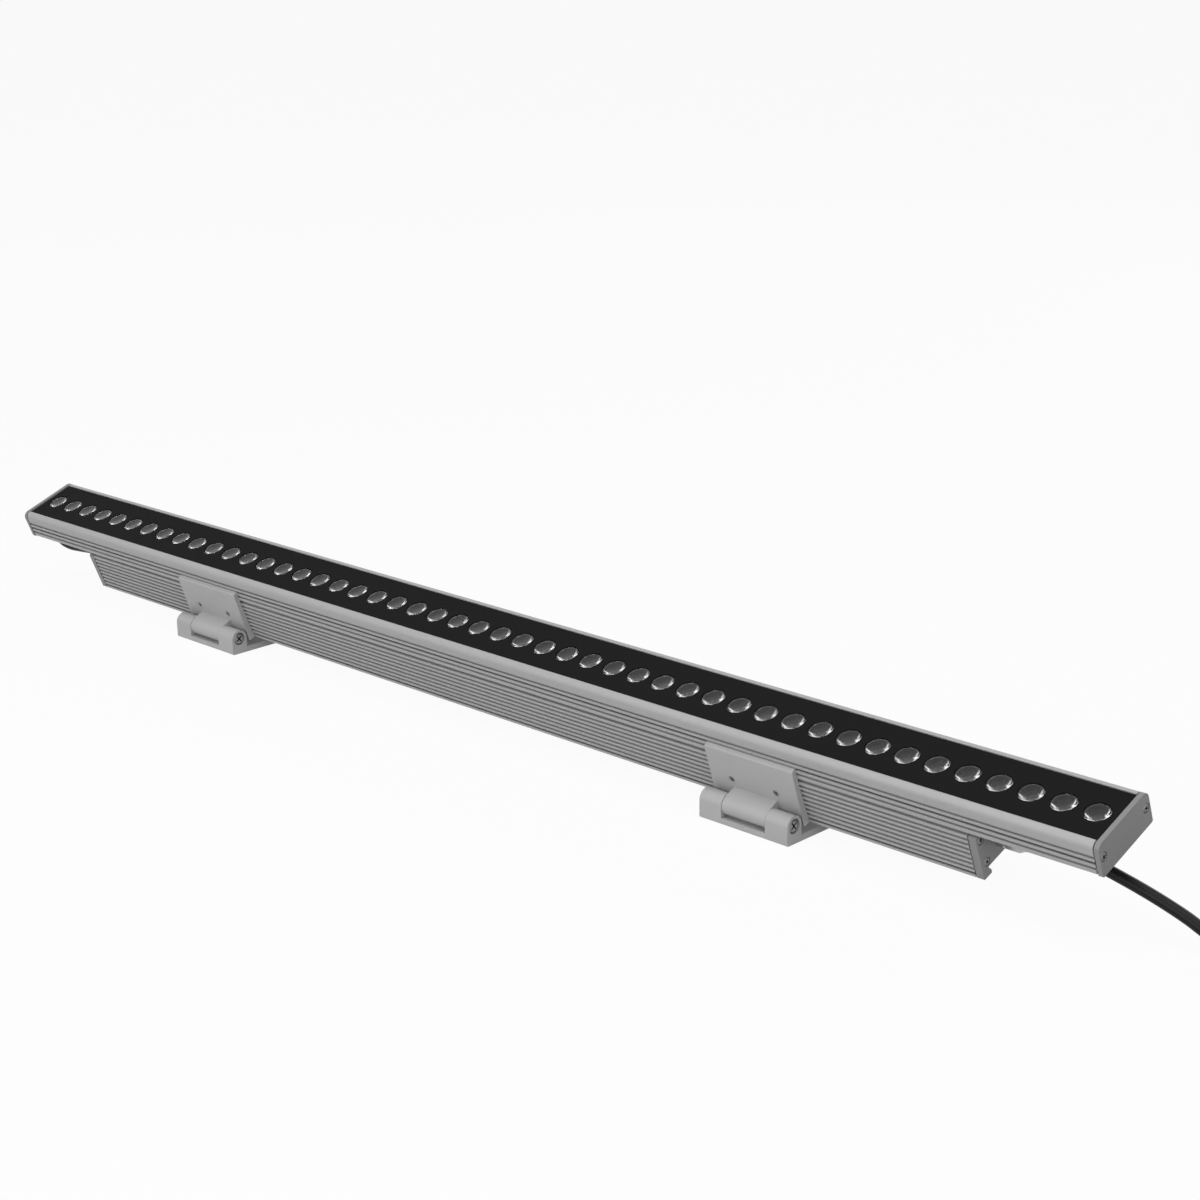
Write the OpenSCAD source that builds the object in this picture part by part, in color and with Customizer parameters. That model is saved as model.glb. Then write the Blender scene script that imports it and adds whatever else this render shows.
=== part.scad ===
// Linear outdoor wall washer on two hinged clip brackets.
// X runs along the lamp, +Z is up from the mounting face, and the light leaves upwards and to the front (-Y).
// The origin is the middle of the four fixing holes, on the mounting face.

/* [Lamp head] */
// Length of the lamp over its head's end caps
lamp_l = 1000; // [900:1:1500]
// Width of both extrusions over their ribs
body_w = 49.6; // [49:0.1:56]
// Height of the head from its underside to the front panel's face
head_h = 19.6; // [18.5:0.1:24]
// Height of the rim that stands round the front panel
rim_h = 0.7; // [0.3:0.1:1.5]
// Width of the rim from the panel's edge to the side
rim_w = 4.8; // [4.6:0.1:6]
// Radius of the shoulders along the rim
shoulder_r = 4.4; // [2:0.1:4.5]
// Width of the ledge that carries the panel
ledge_w = 2.1; // [1.2:0.1:2.5]
// Thickness of the web that carries the boards
web_t = 3; // [2:0.1:3.5]
// Width of the rib in the middle of the underside
rib_w = 10; // [9:0.1:12]
// Thickness of the side walls beside the underside's channels
channel_wall = 5.8; // [4.5:0.1:7]

/* [Head end caps] */
// Thickness of a head cap
cap_t = 3; // [2:0.1:5]
// How far a head cap stands out past the ribs
cap_proud = 0.2; // [0.1:0.05:0.6]
// How far a head cap reaches below the head
cap_drop = 1; // [0.3:0.1:1.6]
// Radius of a head cap's lower corners
cap_low_r = 1.2; // [0.5:0.1:2]
// Thickness of all end gaskets
gasket_t = 0.8; // [0.4:0.1:1.5]
// Inset of a gasket's edge from the cap's
gasket_inset = 1.8; // [1.6:0.1:2]
// Inset of the head cap screws from the lamp's side
head_screw_inset = 3.6; // [3.4:0.1:4]
// Depth of the head cap screws below the panel's face
head_screw_drop = 8.9; // [6:0.1:9.2]

/* [Front panel] */
// Thickness of the black front panel
panel_t = 2; // [1.5:0.1:3]
// Thickness of the seal under the panel
seal_t = 0.5; // [0.3:0.1:1]
// Play between panel and rim on each side
panel_play = 0.1; // [0.05:0.05:0.3]

/* [Optics] */
// Diameter of a lens over its flange
lens_d = 14.9; // [13:0.1:15.2]
// Distance from lens to lens
lens_pitch = 20.62; // [19:0.01:40]
// Least distance from the housing's end to the first lens
lens_margin = 11; // [11:0.1:30]
// How far a lens lies below the panel's face
lens_drop = 0.8; // [0.3:0.1:0.8]
// Overall height of a lens
lens_h = 8.6; // [8:0.1:9]
// Diameter of a lens at its foot
lens_foot_d = 6.4; // [5.6:0.1:7.4]
// Diameter of the pocket in a lens's foot
lens_pocket_d = 4; // [3.2:0.1:4.4]
// Depth of the pocket in a lens's foot
lens_pocket_h = 2.2; // [1.2:0.1:3]
// Play between a lens and its hole in the panel
lens_play = 0.15; // [0.05:0.05:0.3]
// Height of a lens holder above the board
holder_h = 9.4; // [9.2:0.1:10]
// Outer diameter of a lens holder
holder_d = 16.6; // [15.8:0.1:16.8]
// Width of the step that a lens's flange rests on
holder_step = 0.6; // [0.4:0.1:0.9]

/* [LED boards] */
// Thickness of a board
board_t = 1.6; // [1:0.1:2]
// Play between a board and the channel's walls
board_play = 0.9; // [0.3:0.1:1.5]
// Distance from a board to the housing's end
board_inset = 2.2; // [1:0.1:3]
// Gap between the two boards
board_gap = 0.5; // [0.2:0.1:2]
// Side length of an LED package
led_w = 3.5; // [2.8:0.1:4]
// Height of an LED package's base
led_base_h = 0.7; // [0.4:0.1:0.9]
// Radius of an LED's dome
led_dome_r = 1.4; // [1:0.1:1.5]

/* [Ribs] */
// Width of a groove
groove_w = 1.7; // [1.2:0.1:2]
// Depth of a groove
groove_d = 1.4; // [0.8:0.1:1.5]
// Drop of the head's first groove below the panel's face
head_groove_drop = 8.5; // [7.5:0.1:8.6]
// Distance between the head's grooves
head_groove_pitch = 3.78; // [3.4:0.01:4]
// Drop of the driver housing's first groove below its top
driver_groove_drop = 3; // [2.5:0.1:4]
// Distance between the driver housing's grooves
driver_groove_pitch = 3.485; // [3.45:0.005:3.6]

/* [Driver housing] */
// Distance from the head's right end to the driver housing's right end
driver_inset = 80.75; // [70:0.25:110]
// Distance from the head's left end to the driver housing's left end
driver_inset_left = 77.75; // [70:0.25:110]
// Height of the groove between head and driver housing
driver_gap = 2.4; // [1.5:0.1:4]
// Depth of the groove between head and driver housing
seat_inset = 2; // [1:0.1:4]
// Height of the driver housing without its feet
driver_h = 24.4; // [24:0.1:30]
// Thickness of the driver housing's top and bottom walls
driver_wall = 2.4; // [1.8:0.1:3]
// Thickness of its side walls, ribs included
driver_side = 3.8; // [3.2:0.1:4.2]
// Height of the two feet
rail_h = 5.6; // [5:0.1:7]
// Thickness of a foot where it leaves the box
rail_t = 5; // [4.5:0.1:6]
// Width of a foot's lip
rail_lip = 7.4; // [6.5:0.1:9]
// Height of a foot's lip
rail_lip_h = 2.4; // [1.5:0.1:3]
// Thickness of a driver cap
driver_cap_t = 5; // [4:0.1:7]
// Radius of a driver cap's upper corners
driver_cap_r = 1.4; // [0.5:0.1:1.8]
// Inset of the upper driver cap screws from the lamp's side
port_top_inset = 4; // [3.8:0.1:4.8]
// Drop of the upper driver cap screws below the box's top
port_top_drop = 4.2; // [4:0.1:5]
// Inset of the lower driver cap screws from the lamp's side
port_low_inset = 5.4; // [4.8:0.1:5.8]
// Rise of the lower driver cap screws above the box's bottom
port_low_rise = 3.6; // [3.4:0.1:5]
// Wall round a screw port inside the driver housing
port_wall = 1.7; // [1.2:0.1:2]

/* [Driver and wiring] */
// Length of the LED driver's case
supply_l = 300; // [150:1:400]
// Width of the LED driver's case
supply_w = 30; // [20:0.5:30]
// Height of the LED driver's case
supply_h = 16; // [14:0.5:17]
// Length of the terminal block
block_l = 24; // [16:1:40]
// Width of the terminal block
block_w = 16; // [12:1:24]
// Height of the terminal block
block_h = 15; // [14:0.5:17]
// Distance from the LED driver to the terminal block
block_gap = 50; // [20:1:90]
// Diameter of a single supply lead
lead_wire_d = 1.8; // [1:0.1:2.4]
// Side distance between the supply leads
lead_wire_pitch = 4; // [3:0.1:5]
// Rise of the supply leads above the cavity's floor
lead_wire_rise = 8; // [5:0.5:10]

/* [Supply cable] */
// Diameter of the supply cable
cable_d = 7; // [6:0.1:7]
// Rise of the supply gland above the driver box's bottom
gland_rise = 12; // [11.4:0.1:12.4]
// Width of the supply gland over its flats
gland_af = 18; // [17:0.1:18.5]
// Radius of the supply gland's threaded stub
gland_stub_r = 8; // [7:0.1:8]
// Thickness of the supply gland's flange
gland_flange_t = 5; // [3:0.5:6]
// Length of the supply gland's neck under its nut
gland_neck_l = 9; // [6:0.5:10]
// Radius of the supply gland's neck
gland_neck_r = 7; // [6:0.1:7.2]
// Length of the supply gland nut's hexagon
gland_nut_l = 11; // [8:0.5:12]
// Length of the supply gland nut's dome
gland_dome_l = 6; // [4:0.5:8]
// Radius at the dome's tip
gland_tip_r = 5; // [4.4:0.1:6]
// Length of the rubber seal inside a gland
gland_seal_l = 5; // [3:0.5:6]

/* [Link lead] */
// Diameter of the lead from driver housing to head
link_d = 5; // [4:0.1:5]
// Side place of the link lead, from the middle, to the front
link_y = 10; // [9.8:0.1:10.2]
// Rise of the link gland above the driver box's bottom
link_rise = 13.4; // [12:0.1:14]
// Width of the link gland over its flats
link_af = 14; // [12:0.1:15]
// Radius of the link gland's stub
link_stub_r = 6; // [4.5:0.1:6]
// Thickness of the link gland's flange
link_flange_t = 4; // [3:0.5:5]
// Length of the link gland nut
link_nut_l = 11; // [8:0.5:12]
// Radius at the link gland nut's tip
link_tip_r = 3.8; // [3.2:0.1:4.5]
// Distance from the head housing's end to where the lead enters it
link_inset = 6.2; // [6:0.1:6.4]
// Radius of the grommet's flange
grommet_r = 4.8; // [4.2:0.1:4.8]
// Wall of the grommet round the lead
grommet_wall = 1.5; // [0.8:0.1:1.6]
// Thickness of the grommet's flange
grommet_t = 1.2; // [0.8:0.1:2]
// Length of the board connector
plug_l = 7; // [5.5:0.1:7]
// Width of the board connector
plug_w = 5; // [3:0.1:5]
// Height of the board connector
plug_h = 4; // [2:0.1:6]

/* [Brackets] */
// Distance of each bracket's middle from the driver housing's end
bracket_inset = 157.25; // [120:0.25:260]
// Length of a foot along the lamp
foot_w = 68; // [60:1:80]
// Depth of a foot's base plate from front to back
foot_d = 64; // [62:1:80]
// Thickness of a foot's base plate
foot_t = 4; // [3:0.1:4.4]
// Height of the hinge axis above the mounting face
hinge_h = 11.2; // [11.2:0.1:14]
// Radius of the hinge ears
ear_r = 6.5; // [6.4:0.1:6.8]
// Radius of the hinge knuckle
knuckle_r = 6.3; // [5.6:0.1:6.3]
// Distance between the inner faces of the two ears
ear_span = 34; // [28:1:40]
// Play beside the knuckle
knuckle_play = 0.3; // [0.1:0.05:0.5]
// Radius along a foot's front edge
foot_edge_r = 1.4; // [0.5:0.1:2]
// Distance of the hinge axis in front of the ribs
hinge_out = 12.6; // [12.5:0.1:15]
// Rise of the hinge axis above the driver housing's feet
hinge_up = 6.4; // [6.2:0.1:6.6]
// Tilt of the lamp from its mounting face
tilt = 21; // [15:1:30]

/* [Clip plates] */
// How much shorter a clip plate is than its foot
plate_short = 0.5; // [0.5:0.5:4]
// Thickness of a clip plate at its top
plate_top_t = 3.2; // [2.5:0.1:4]
// Thickness of a clip plate at its bottom
plate_low_t = 5; // [4.5:0.1:5.2]
// How far a clip plate laps up the head
plate_lap = 7.9; // [7.6:0.1:8.3]
// Drop of a clip plate's sloping top
plate_slope = 1.6; // [0.5:0.1:2.5]
// Thickness of the neck between plate and knuckle
neck_t = 7.2; // [5:0.1:8]
// Drop of the neck's upper face below the plate's top
neck_drop = 26.6; // [26:0.1:27.5]
// Depth of a hook in its groove
hook_d = 2; // [1.8:0.1:2.1]
// Thickness of a hook where it enters its groove
hook_t = 0.9; // [0.6:0.1:1]
// Thickness of the lip that a hook holds behind
hook_lip = 1; // [0.8:0.1:1.1]
// How far a hook reaches down behind the lip
hook_drop = 0.7; // [0.4:0.1:0.8]
// Play round a hook
hook_play = 0.1; // [0.05:0.05:0.2]

/* [Fixing holes] */
// Distance between a foot's two fixing holes, front to back
fix_spacing = 24; // [16:1:24]
// Radius of a fixing hole
fix_r = 3.3; // [2.2:0.1:3.5]

/* [Fasteners] */
// Radius of a hinge bolt's shank
bolt_r = 2.5; // [2:0.1:3]
// Radius of a hinge bolt's head
bolt_head_r = 4.25; // [3.8:0.05:4.4]
// Height of a hinge bolt's head
bolt_head_h = 3.2; // [2:0.1:3.4]
// Radius of the counterbore for a hinge bolt's head
bore_head_r = 4.7; // [4.5:0.1:5]
// Depth of the counterbore
bore_head_d = 3.6; // [3.4:0.1:5]
// Width of a hinge nut over its flats
nut_af = 8; // [7:0.1:8.4]
// Height of a hinge nut
nut_h = 4; // [3:0.1:5]
// Radial running clearance of all shafts and screws
run_gap = 0.05; // [0.03:0.01:0.08]
// Radius of a cap screw's shank
cap_screw_r = 1.45; // [1.2:0.05:1.5]
// Radius of a cap screw's head
cap_head_r = 2.5; // [2.2:0.05:2.6]
// Height of a cap screw's head
cap_head_h = 1.5; // [1:0.1:1.6]
// How deep a cap screw goes into its housing
cap_screw_grip = 12; // [6:1:20]
// Play round a sunk screw head
head_play = 0.3; // [0.2:0.05:0.4]
// Width of the arms of a cross recess
cross_w = 0.7; // [0.4:0.1:0.9]
// Depth of a cross recess
cross_d = 0.9; // [0.5:0.1:1]
// Radius of a set screw
set_r = 2; // [1.5:0.1:2]
// How far a set screw bites into its rib
set_bite = 1.2; // [0.8:0.1:2]
// How deep a set screw lies below the plate's face
set_sunk = 0.3; // [0.1:0.1:0.6]
// Distance between the two set screws of a plate
set_span = 34; // [24:1:44]
// Width of a hexagon socket over its flats
socket_af = 2; // [1.5:0.1:2.2]
// Radius of a housing screw's shank
joint_screw_r = 2; // [1.5:0.1:2.2]
// Radius of a housing screw's sunk head
joint_head_r = 3.9; // [3:0.1:4.4]
// Height of a housing screw's sunk head
joint_head_h = 2.2; // [1.8:0.1:2.8]
// Place of the inner housing screws, from the middle
joint_x_in = 110; // [60:1:140]
// Distance of the outer housing screws from the driver housing's end
joint_inset = 47.25; // [47.25:0.25:75]

/* [Coil and connector] */
// Distance along the lamp from the supply gland to the coil
cable_reach = 124; // [110:1:160]
// Length of cable between the coil and the connector
tail_l = 8; // [4:1:16]
// Mean radius of the coil's turns
coil_r = 37.5; // [35:0.5:42]
// Height of the coil without its tie
coil_h = 14.2; // [14:0.1:20]
// Thickness of the coil's tie
tie_t = 0.6; // [0.4:0.1:1]
// Width of the coil's tie
tie_w = 8; // [4:1:12]
// Radius of the connector's body
conn_r = 8; // [7:0.5:10]
// Radius of the connector's collar
conn_collar_r = 9; // [8.5:0.5:11]
// Length of the connector's body
conn_body_l = 22; // [16:1:30]
// Length of the connector's tapered back
conn_back_l = 8; // [4:1:12]
// Length of the connector's collar
conn_collar_l = 4; // [2:0.5:8]
// Length of the connector's sleeve
conn_sleeve_l = 10; // [8:0.5:14]
// Radius of the connector's sleeve
conn_sleeve_r = 7; // [6:0.1:8]
// Wall of the connector's sleeve
conn_sleeve_wall = 1.4; // [1:0.1:2]
// Radius of a connector pin
pin_r = 0.8; // [0.6:0.1:0.8]
// Distance of the pins from the connector's axis
pin_circle_r = 3.4; // [3.4:0.1:3.6]
// Number of connector pins
pin_n = 3; // [2:1:4]

/* [Hidden] */
$fn = 48;
fine_fn = 24;
hex = 6;
over = 1;
silver = "#a9abad";
satin = "#9b9da0";
steel = "#8d9093";
jet = "#242425";
rubber = "#2b2b2c";
white = "#e6e6e3";

// Levels of the head, from the panel's face down
side_y = body_w / 2;
panel_w = body_w - 2 * rim_w;
ledge_z = -panel_t - seal_t;
board_top = -panel_t - holder_h;
web_top = board_top - board_t;
web_low = web_top - web_t;
head_low = -head_h;
cavity_y = panel_w / 2 - ledge_w;
channel_y = side_y - channel_wall;
head_screw_y = side_y - head_screw_inset;
housing_l = lamp_l - 2 * (cap_t + gasket_t);
cap_x = lamp_l / 2 - cap_t;
groove_half = groove_w / 2;
head_groove_n = floor((head_h - head_groove_drop - groove_w) / head_groove_pitch) + 1;
hook_head_z = -head_groove_drop - head_groove_pitch;

// Levels of the driver housing
box_top = head_low - driver_gap;
box_low = box_top - driver_h;
rail_low = box_low - rail_h;
box_end_x = lamp_l / 2 - driver_inset;
box_cap_x = box_end_x - driver_cap_t;
left_end_x = driver_inset_left - lamp_l / 2;
box_mid = (box_end_x + left_end_x) / 2;
box_l = box_end_x - left_end_x - 2 * (driver_cap_t + gasket_t);
bay_y = side_y - driver_side;
bay_top = box_top - driver_wall;
bay_low = box_low + driver_wall;
port_r = cap_screw_r + run_gap;
port_top_y = side_y - port_top_inset;
port_low_y = side_y - port_low_inset;
bracket_x = box_end_x - bracket_inset;
joint_x_out = box_end_x - joint_inset;
driver_groove_n = floor((driver_h + rail_h - driver_groove_drop - groove_w) / driver_groove_pitch) + 1;
hook_box_z = box_top - driver_groove_drop - (driver_groove_n - 1) * driver_groove_pitch;
set_row_share = 2.25;
set_z = box_top - driver_groove_drop - set_row_share * driver_groove_pitch;

// Optics
lens_r = lens_d / 2;
lens_n = floor((housing_l - 2 * lens_margin) / lens_pitch) + 1;
flange_t = panel_t - lens_drop;
hole_r = lens_r + lens_play;
holder_r = holder_d / 2;
holder_bore_r = lens_r - holder_step;
lens_top_r = holder_bore_r - lens_play;
board_l = (housing_l - 2 * board_inset - board_gap) / 2;

// Hinge: its axis in the lamp's own frame and in the part's frame
axis_y = -side_y - hinge_out;
axis_z = rail_low + hinge_up;
hinge_y = axis_y;
foot_front = hinge_y - ear_r;
plate_w = foot_w - plate_short;
plate_top = head_low + plate_lap;
plate_y = -side_y;
neck_top = plate_top - neck_drop;
plate_taper = (plate_low_t - plate_top_t) / (plate_top - plate_slope - rail_low);
function plate_face(z) = plate_y - plate_top_t - plate_taper * (plate_top - plate_slope - z);
set_face_y = plate_face(set_z) + set_sunk;
neck_face_y = plate_face(neck_top);
neck_root_y = plate_y - plate_top_t / 2;
neck_dy = axis_y - neck_face_y;
neck_dz = axis_z - neck_top;
neck_reach = sqrt(neck_dy * neck_dy + neck_dz * neck_dz);
neck_angle = atan2(neck_dz, neck_dy) - asin(knuckle_r / neck_reach);
neck_len = sqrt(neck_reach * neck_reach - knuckle_r * knuckle_r);
neck_end = [neck_face_y + neck_len * cos(neck_angle), neck_top + neck_len * sin(neck_angle)];
knuckle_w = ear_span - 2 * knuckle_play;
ear_w = (foot_w - ear_span) / 2;

// Cable entries, in the lamp's own frame
gland_z = box_low + gland_rise;
gland_end_x = box_end_x + gland_flange_t + gland_nut_l + gland_dome_l;
link_z = box_low + link_rise;
link_in_x = -housing_l / 2 + link_inset;
cable_r = cable_d / 2;
link_r = link_d / 2;
supply_x = supply_l / 2;
block_x = supply_x + block_gap;

// A point of the lamp's own frame, placed in the part's frame
function placed(x, y, z) = [x,
    hinge_y + (y - axis_y) * cos(tilt) - (z - axis_z) * sin(tilt),
    hinge_h + (y - axis_y) * sin(tilt) + (z - axis_z) * cos(tilt)];

// The cable's route from the gland down to the coil: shares of its reach, and of its height over the floor
cable_gap = 0.2;
cable_exit = placed(gland_end_x + cable_gap, 0, gland_z);
cable_fall = cable_exit[2] - cable_r;
cable_shares = [[0, 1], [0.07, 0.99], [0.14, 0.972], [0.21, 0.943], [0.28, 0.9], [0.35, 0.847], [0.42, 0.79],
    [0.49, 0.729], [0.56, 0.662], [0.63, 0.588], [0.7, 0.505], [0.76, 0.425], [0.82, 0.328], [0.88, 0.233],
    [0.94, 0.15], [1, 0.088]];
cable_route = [for (s = cable_shares)
    [cable_exit[0] + s[0] * cable_reach, cable_exit[1], cable_r + s[1] * cable_fall]];

// The coil stands so that the cable meets its outer turn from the side, and its tail leaves it the same way
coil_out_r = coil_r + cable_d;
coil_lane = coil_out_r - cable_r;
coil_gap = 0.9;
coil_dx = sqrt(coil_out_r * coil_out_r - (coil_lane - cable_r) * (coil_lane - cable_r)) + coil_gap;
coil_at = [cable_exit[0] + cable_reach + coil_dx, cable_exit[1] + coil_lane, tie_t];
conn_face_l = conn_back_l + conn_body_l + conn_collar_l;
conn_at = [cable_exit[0] + cable_reach - tail_l, coil_at[1] + coil_lane, conn_collar_r];

// The link lead's route, in the lamp's own frame: inside the driver housing, out, round and up into the head.
// Its loop is in shares of the way from gland to grommet, and of the way up to the head
link_front = -link_y;
link_out_x = left_end_x - link_flange_t - link_nut_l;
link_reach = link_in_x - link_out_x;
link_climb = web_low - link_z;
link_shares = [[0, 0], [0.12, 0], [0.24, -0.012], [0.4, -0.07], [0.53, -0.11], [0.65, -0.15], [0.755, -0.16],
    [0.85, -0.13], [0.925, -0.06], [0.985, 0.09], [1, 0.29], [1, 0.6], [1, 1]];
link_loop = [for (s = link_shares) [link_out_x + s[0] * link_reach, link_front, link_z + s[1] * link_climb]];
link_route = concat([[-supply_x, link_front, link_z]], link_loop, [[link_in_x, link_front, board_top]]);
cable_sides = 10;
link_sides = 8;

// Helpers
function unit(v) = v / norm(v);
function along(p, i) = unit(p[min(i + 1, len(p) - 1)] - p[max(i - 1, 0)]);
function ring(p, i, r, sides) = let (t = along(p, i), side = unit(cross(t, [0, 1, 0])), up = cross(side, t))
    [for (k = [0 : sides - 1]) p[i] + r * (cos(360 * k / sides) * side + sin(360 * k / sides) * up)];

// A round lead swept along a list of points that keep near one upright plane
module lead(p, r, sides) {
    n = len(p);
    polyhedron(
        points = [for (i = [0 : n - 1]) each ring(p, i, r, sides)],
        faces = concat(
            [[for (k = [sides - 1 : -1 : 0]) k]],
            [[for (k = [0 : sides - 1]) (n - 1) * sides + k]],
            [for (i = [0 : n - 2], k = [0 : sides - 1])
                let (a = i * sides, b = a + sides, next = (k + 1) % sides)
                    [a + k, a + next, b + next, b + k]]));
}

// A rectangle by its two corners, in the cross-section
module slab(y0, y1, z0, z1) translate([y0, z0]) square([y1 - y0, z1 - z0]);

// What lies outside a rounded corner at the origin that opens towards +Y and +Z
module corner_waste(r) difference() {
    translate([-over, -over]) square(r + over);
    translate([r, r]) circle(r);
}

// Both sides of a cross-section
module sides() {
    children();
    mirror([1, 0]) children();
}

// Both ends of the lamp
module ends() {
    children();
    mirror([1, 0, 0]) children();
}

// Both ends of the driver housing
module driver_ends() {
    children();
    at_left_end() children();
}

// What is made for the driver housing's right end, turned to its left end
module at_left_end() translate([2 * box_mid, 0, 0]) mirror([1, 0, 0]) children();

// A cross-section drawn out along the lamp, from x
module section(x, l) translate([x, 0, 0]) rotate([90, 0, 90]) linear_extrude(l) children();

// A cross-section drawn out evenly to both sides of the middle
module profile(l) section(-l / 2, l) children();

// A round bar or hole along X
module rod(x, y, z, r, l) translate([x, y, z]) rotate([0, 90, 0]) cylinder(r = r, h = l);

// A hexagonal bar or hole along X, by its width over flats
module hex_rod(x, y, z, af, l) translate([x, y, z]) rotate([0, 90, 0])
    cylinder(d = af / cos(30), h = l, $fn = hex);

// From the lamp's own frame to its place on the hinges
module tilted() translate([0, hinge_y, hinge_h]) rotate([tilt, 0, 0])
    translate([0, -axis_y, -axis_z]) children();

// A cross recess, cut from the screw's face inwards along -X
module cross_recess(r) for (a = [0, 90]) rotate([a, 0, 0])
    translate([-cross_d, -r, -cross_w / 2]) cube([cross_d + over, 2 * r, cross_w]);

// A cap screw along X, its head's face at x, pointing towards -X
module cap_screw(x, y, z, grip) translate([x, y, z]) difference() {
    union() {
        rod(-cap_head_h, 0, 0, cap_head_r, cap_head_h);
        rod(-cap_head_h - grip, 0, 0, cap_screw_r, grip + over / 2);
    }
    cross_recess(cap_head_r * 2 / 3);
}

// Screw hole with a sunk seat for its head, cut from a cap's outer face at x
module cap_screw_hole(x, y, z, t) {
    rod(x - t - over, y, z, port_r, t + 2 * over);
    rod(x - cap_head_h, y, z, cap_head_r + head_play, cap_head_h + over);
}

// Grooves along one side of an extrusion
module grooves(z, pitch, n) for (i = [0 : n - 1])
    slab(side_y - groove_d, side_y + over, z - i * pitch - groove_half, z - i * pitch + groove_half);

// The deeper groove that a clip plate's hook goes into
module hook_groove(z) {
    slab(side_y - hook_d - hook_play, side_y + over, z - groove_half, z + groove_half);
    slab(side_y - hook_d - hook_play, side_y - hook_lip, z - groove_half - hook_drop - hook_play, z);
}

// A clip plate's hook, on the front side
module hook(z) {
    low = z - groove_half + hook_play;
    slab(plate_y - over / 2, plate_y + hook_d, low, low + hook_t);
    slab(plate_y + hook_lip + hook_play, plate_y + hook_d, low - hook_drop, low + hook_t);
}

// Outline of the head extrusion without its grooves
module head_outline() difference() {
    slab(-side_y, side_y, head_low, rim_h);
    sides() translate([-side_y, rim_h]) mirror([0, 1]) corner_waste(shoulder_r);
}

// The head's extrusion
module head_housing() color(silver) tilted() difference() {
    profile(housing_l) difference() {
        head_outline();
        slab(-panel_w / 2 - panel_play, panel_w / 2 + panel_play, ledge_z, rim_h + over);
        slab(-cavity_y, cavity_y, web_top, ledge_z + over);
        sides() {
            slab(rib_w / 2, channel_y, head_low - over, web_low);
            grooves(-head_groove_drop, head_groove_pitch, head_groove_n);
            hook_groove(hook_head_z);
        }
    }
    ends() for (s = [-1, 1])
        rod(housing_l / 2 - cap_screw_grip, s * head_screw_y, -head_screw_drop, port_r,
            cap_screw_grip + over);
    joint_screw_places() {
        translate([0, 0, head_low - over]) cylinder(r = joint_screw_r + run_gap, h = head_h);
        translate([0, 0, web_top - joint_head_h])
            cylinder(r1 = joint_screw_r + run_gap, r2 = joint_head_r + run_gap, h = joint_head_h);
    }
    translate([link_in_x, link_front, web_low - over])
        cylinder(r = link_r + grommet_wall, h = web_t + 2 * over);
}

// Matt black front panel with one hole for each lens
module front_panel() color(jet) tilted() difference() {
    profile(housing_l) slab(-panel_w / 2, panel_w / 2, -panel_t, 0);
    lens_places() translate([0, 0, -panel_t - over]) cylinder(r = hole_r, h = panel_t + 2 * over);
}

// Flat seal on the head's ledge
module panel_seal() color(rubber) tilted() difference() {
    profile(housing_l) slab(-panel_w / 2, panel_w / 2, ledge_z, -panel_t);
    profile(housing_l - 2 * board_inset) slab(-cavity_y, cavity_y, ledge_z - over, -panel_t + over);
}

// The places of all lenses along the lamp
module lens_places() for (i = [0 : lens_n - 1])
    translate([(i - (lens_n - 1) / 2) * lens_pitch, 0, 0]) children();

// Clear collimating lenses: flange, cone and foot pocket
module lenses() color("#e9eef0", 0.5) tilted() lens_places() translate([0, 0, -lens_drop]) difference() {
    union() {
        translate([0, 0, -flange_t]) cylinder(r = lens_r, h = flange_t);
        translate([0, 0, -lens_h]) cylinder(r1 = lens_foot_d / 2, r2 = lens_top_r, h = lens_h - flange_t);
    }
    translate([0, 0, -lens_h - over]) cylinder(d = lens_pocket_d, h = lens_pocket_h + over);
}

// Cups that stand on the board and carry the lenses
module lens_holders() color(white) tilted() lens_places() translate([0, 0, board_top]) difference() {
    cylinder(r = holder_r, h = holder_h);
    translate([0, 0, -over]) cylinder(r = holder_bore_r, h = holder_h + 2 * over);
}

// Two metal-core boards, end to end
module led_boards() color(white) tilted() difference() {
    for (x = [-board_gap / 2 - board_l, board_gap / 2])
        section(x, board_l) slab(-cavity_y + board_play, cavity_y - board_play, web_top, board_top);
    translate([link_in_x, link_front, web_top - over]) cylinder(r = link_r + run_gap, h = board_t + 2 * over);
}

// LED packages, one under each lens
module leds() color("#e8d77a") tilted() lens_places() translate([0, 0, board_top]) {
    translate([-led_w / 2, -led_w / 2, 0]) cube([led_w, led_w, led_base_h]);
    translate([0, 0, led_base_h / 2]) cylinder(r = led_dome_r, h = led_base_h / 2 + led_dome_r * 2 / 3);
}

// Outline of a head cap
module head_cap_outline(inset) {
    y = side_y + cap_proud - inset;
    top = rim_h - inset;
    low = head_low - cap_drop + inset;
    difference() {
        slab(-y, y, low, top);
        sides() {
            translate([-y, top]) mirror([0, 1]) corner_waste(shoulder_r);
            translate([-y, low]) corner_waste(cap_low_r);
        }
    }
}

// A head cap at the lamp's right end
module head_cap() color(satin) difference() {
    section(cap_x, cap_t) head_cap_outline(0);
    for (s = [-1, 1]) cap_screw_hole(lamp_l / 2, s * head_screw_y, -head_screw_drop, cap_t);
}
module right_head_cap() tilted() head_cap();
module left_head_cap() tilted() mirror([1, 0, 0]) head_cap();

// Gaskets between the head and its caps
module head_cap_gaskets() color(rubber) tilted() ends() difference() {
    section(cap_x - gasket_t, gasket_t) difference() {
        head_cap_outline(gasket_inset);
        slab(-cavity_y, cavity_y, web_top, ledge_z);
    }
    for (s = [-1, 1])
        rod(cap_x - gasket_t - over, s * head_screw_y, -head_screw_drop, port_r, gasket_t + 2 * over);
}

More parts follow.
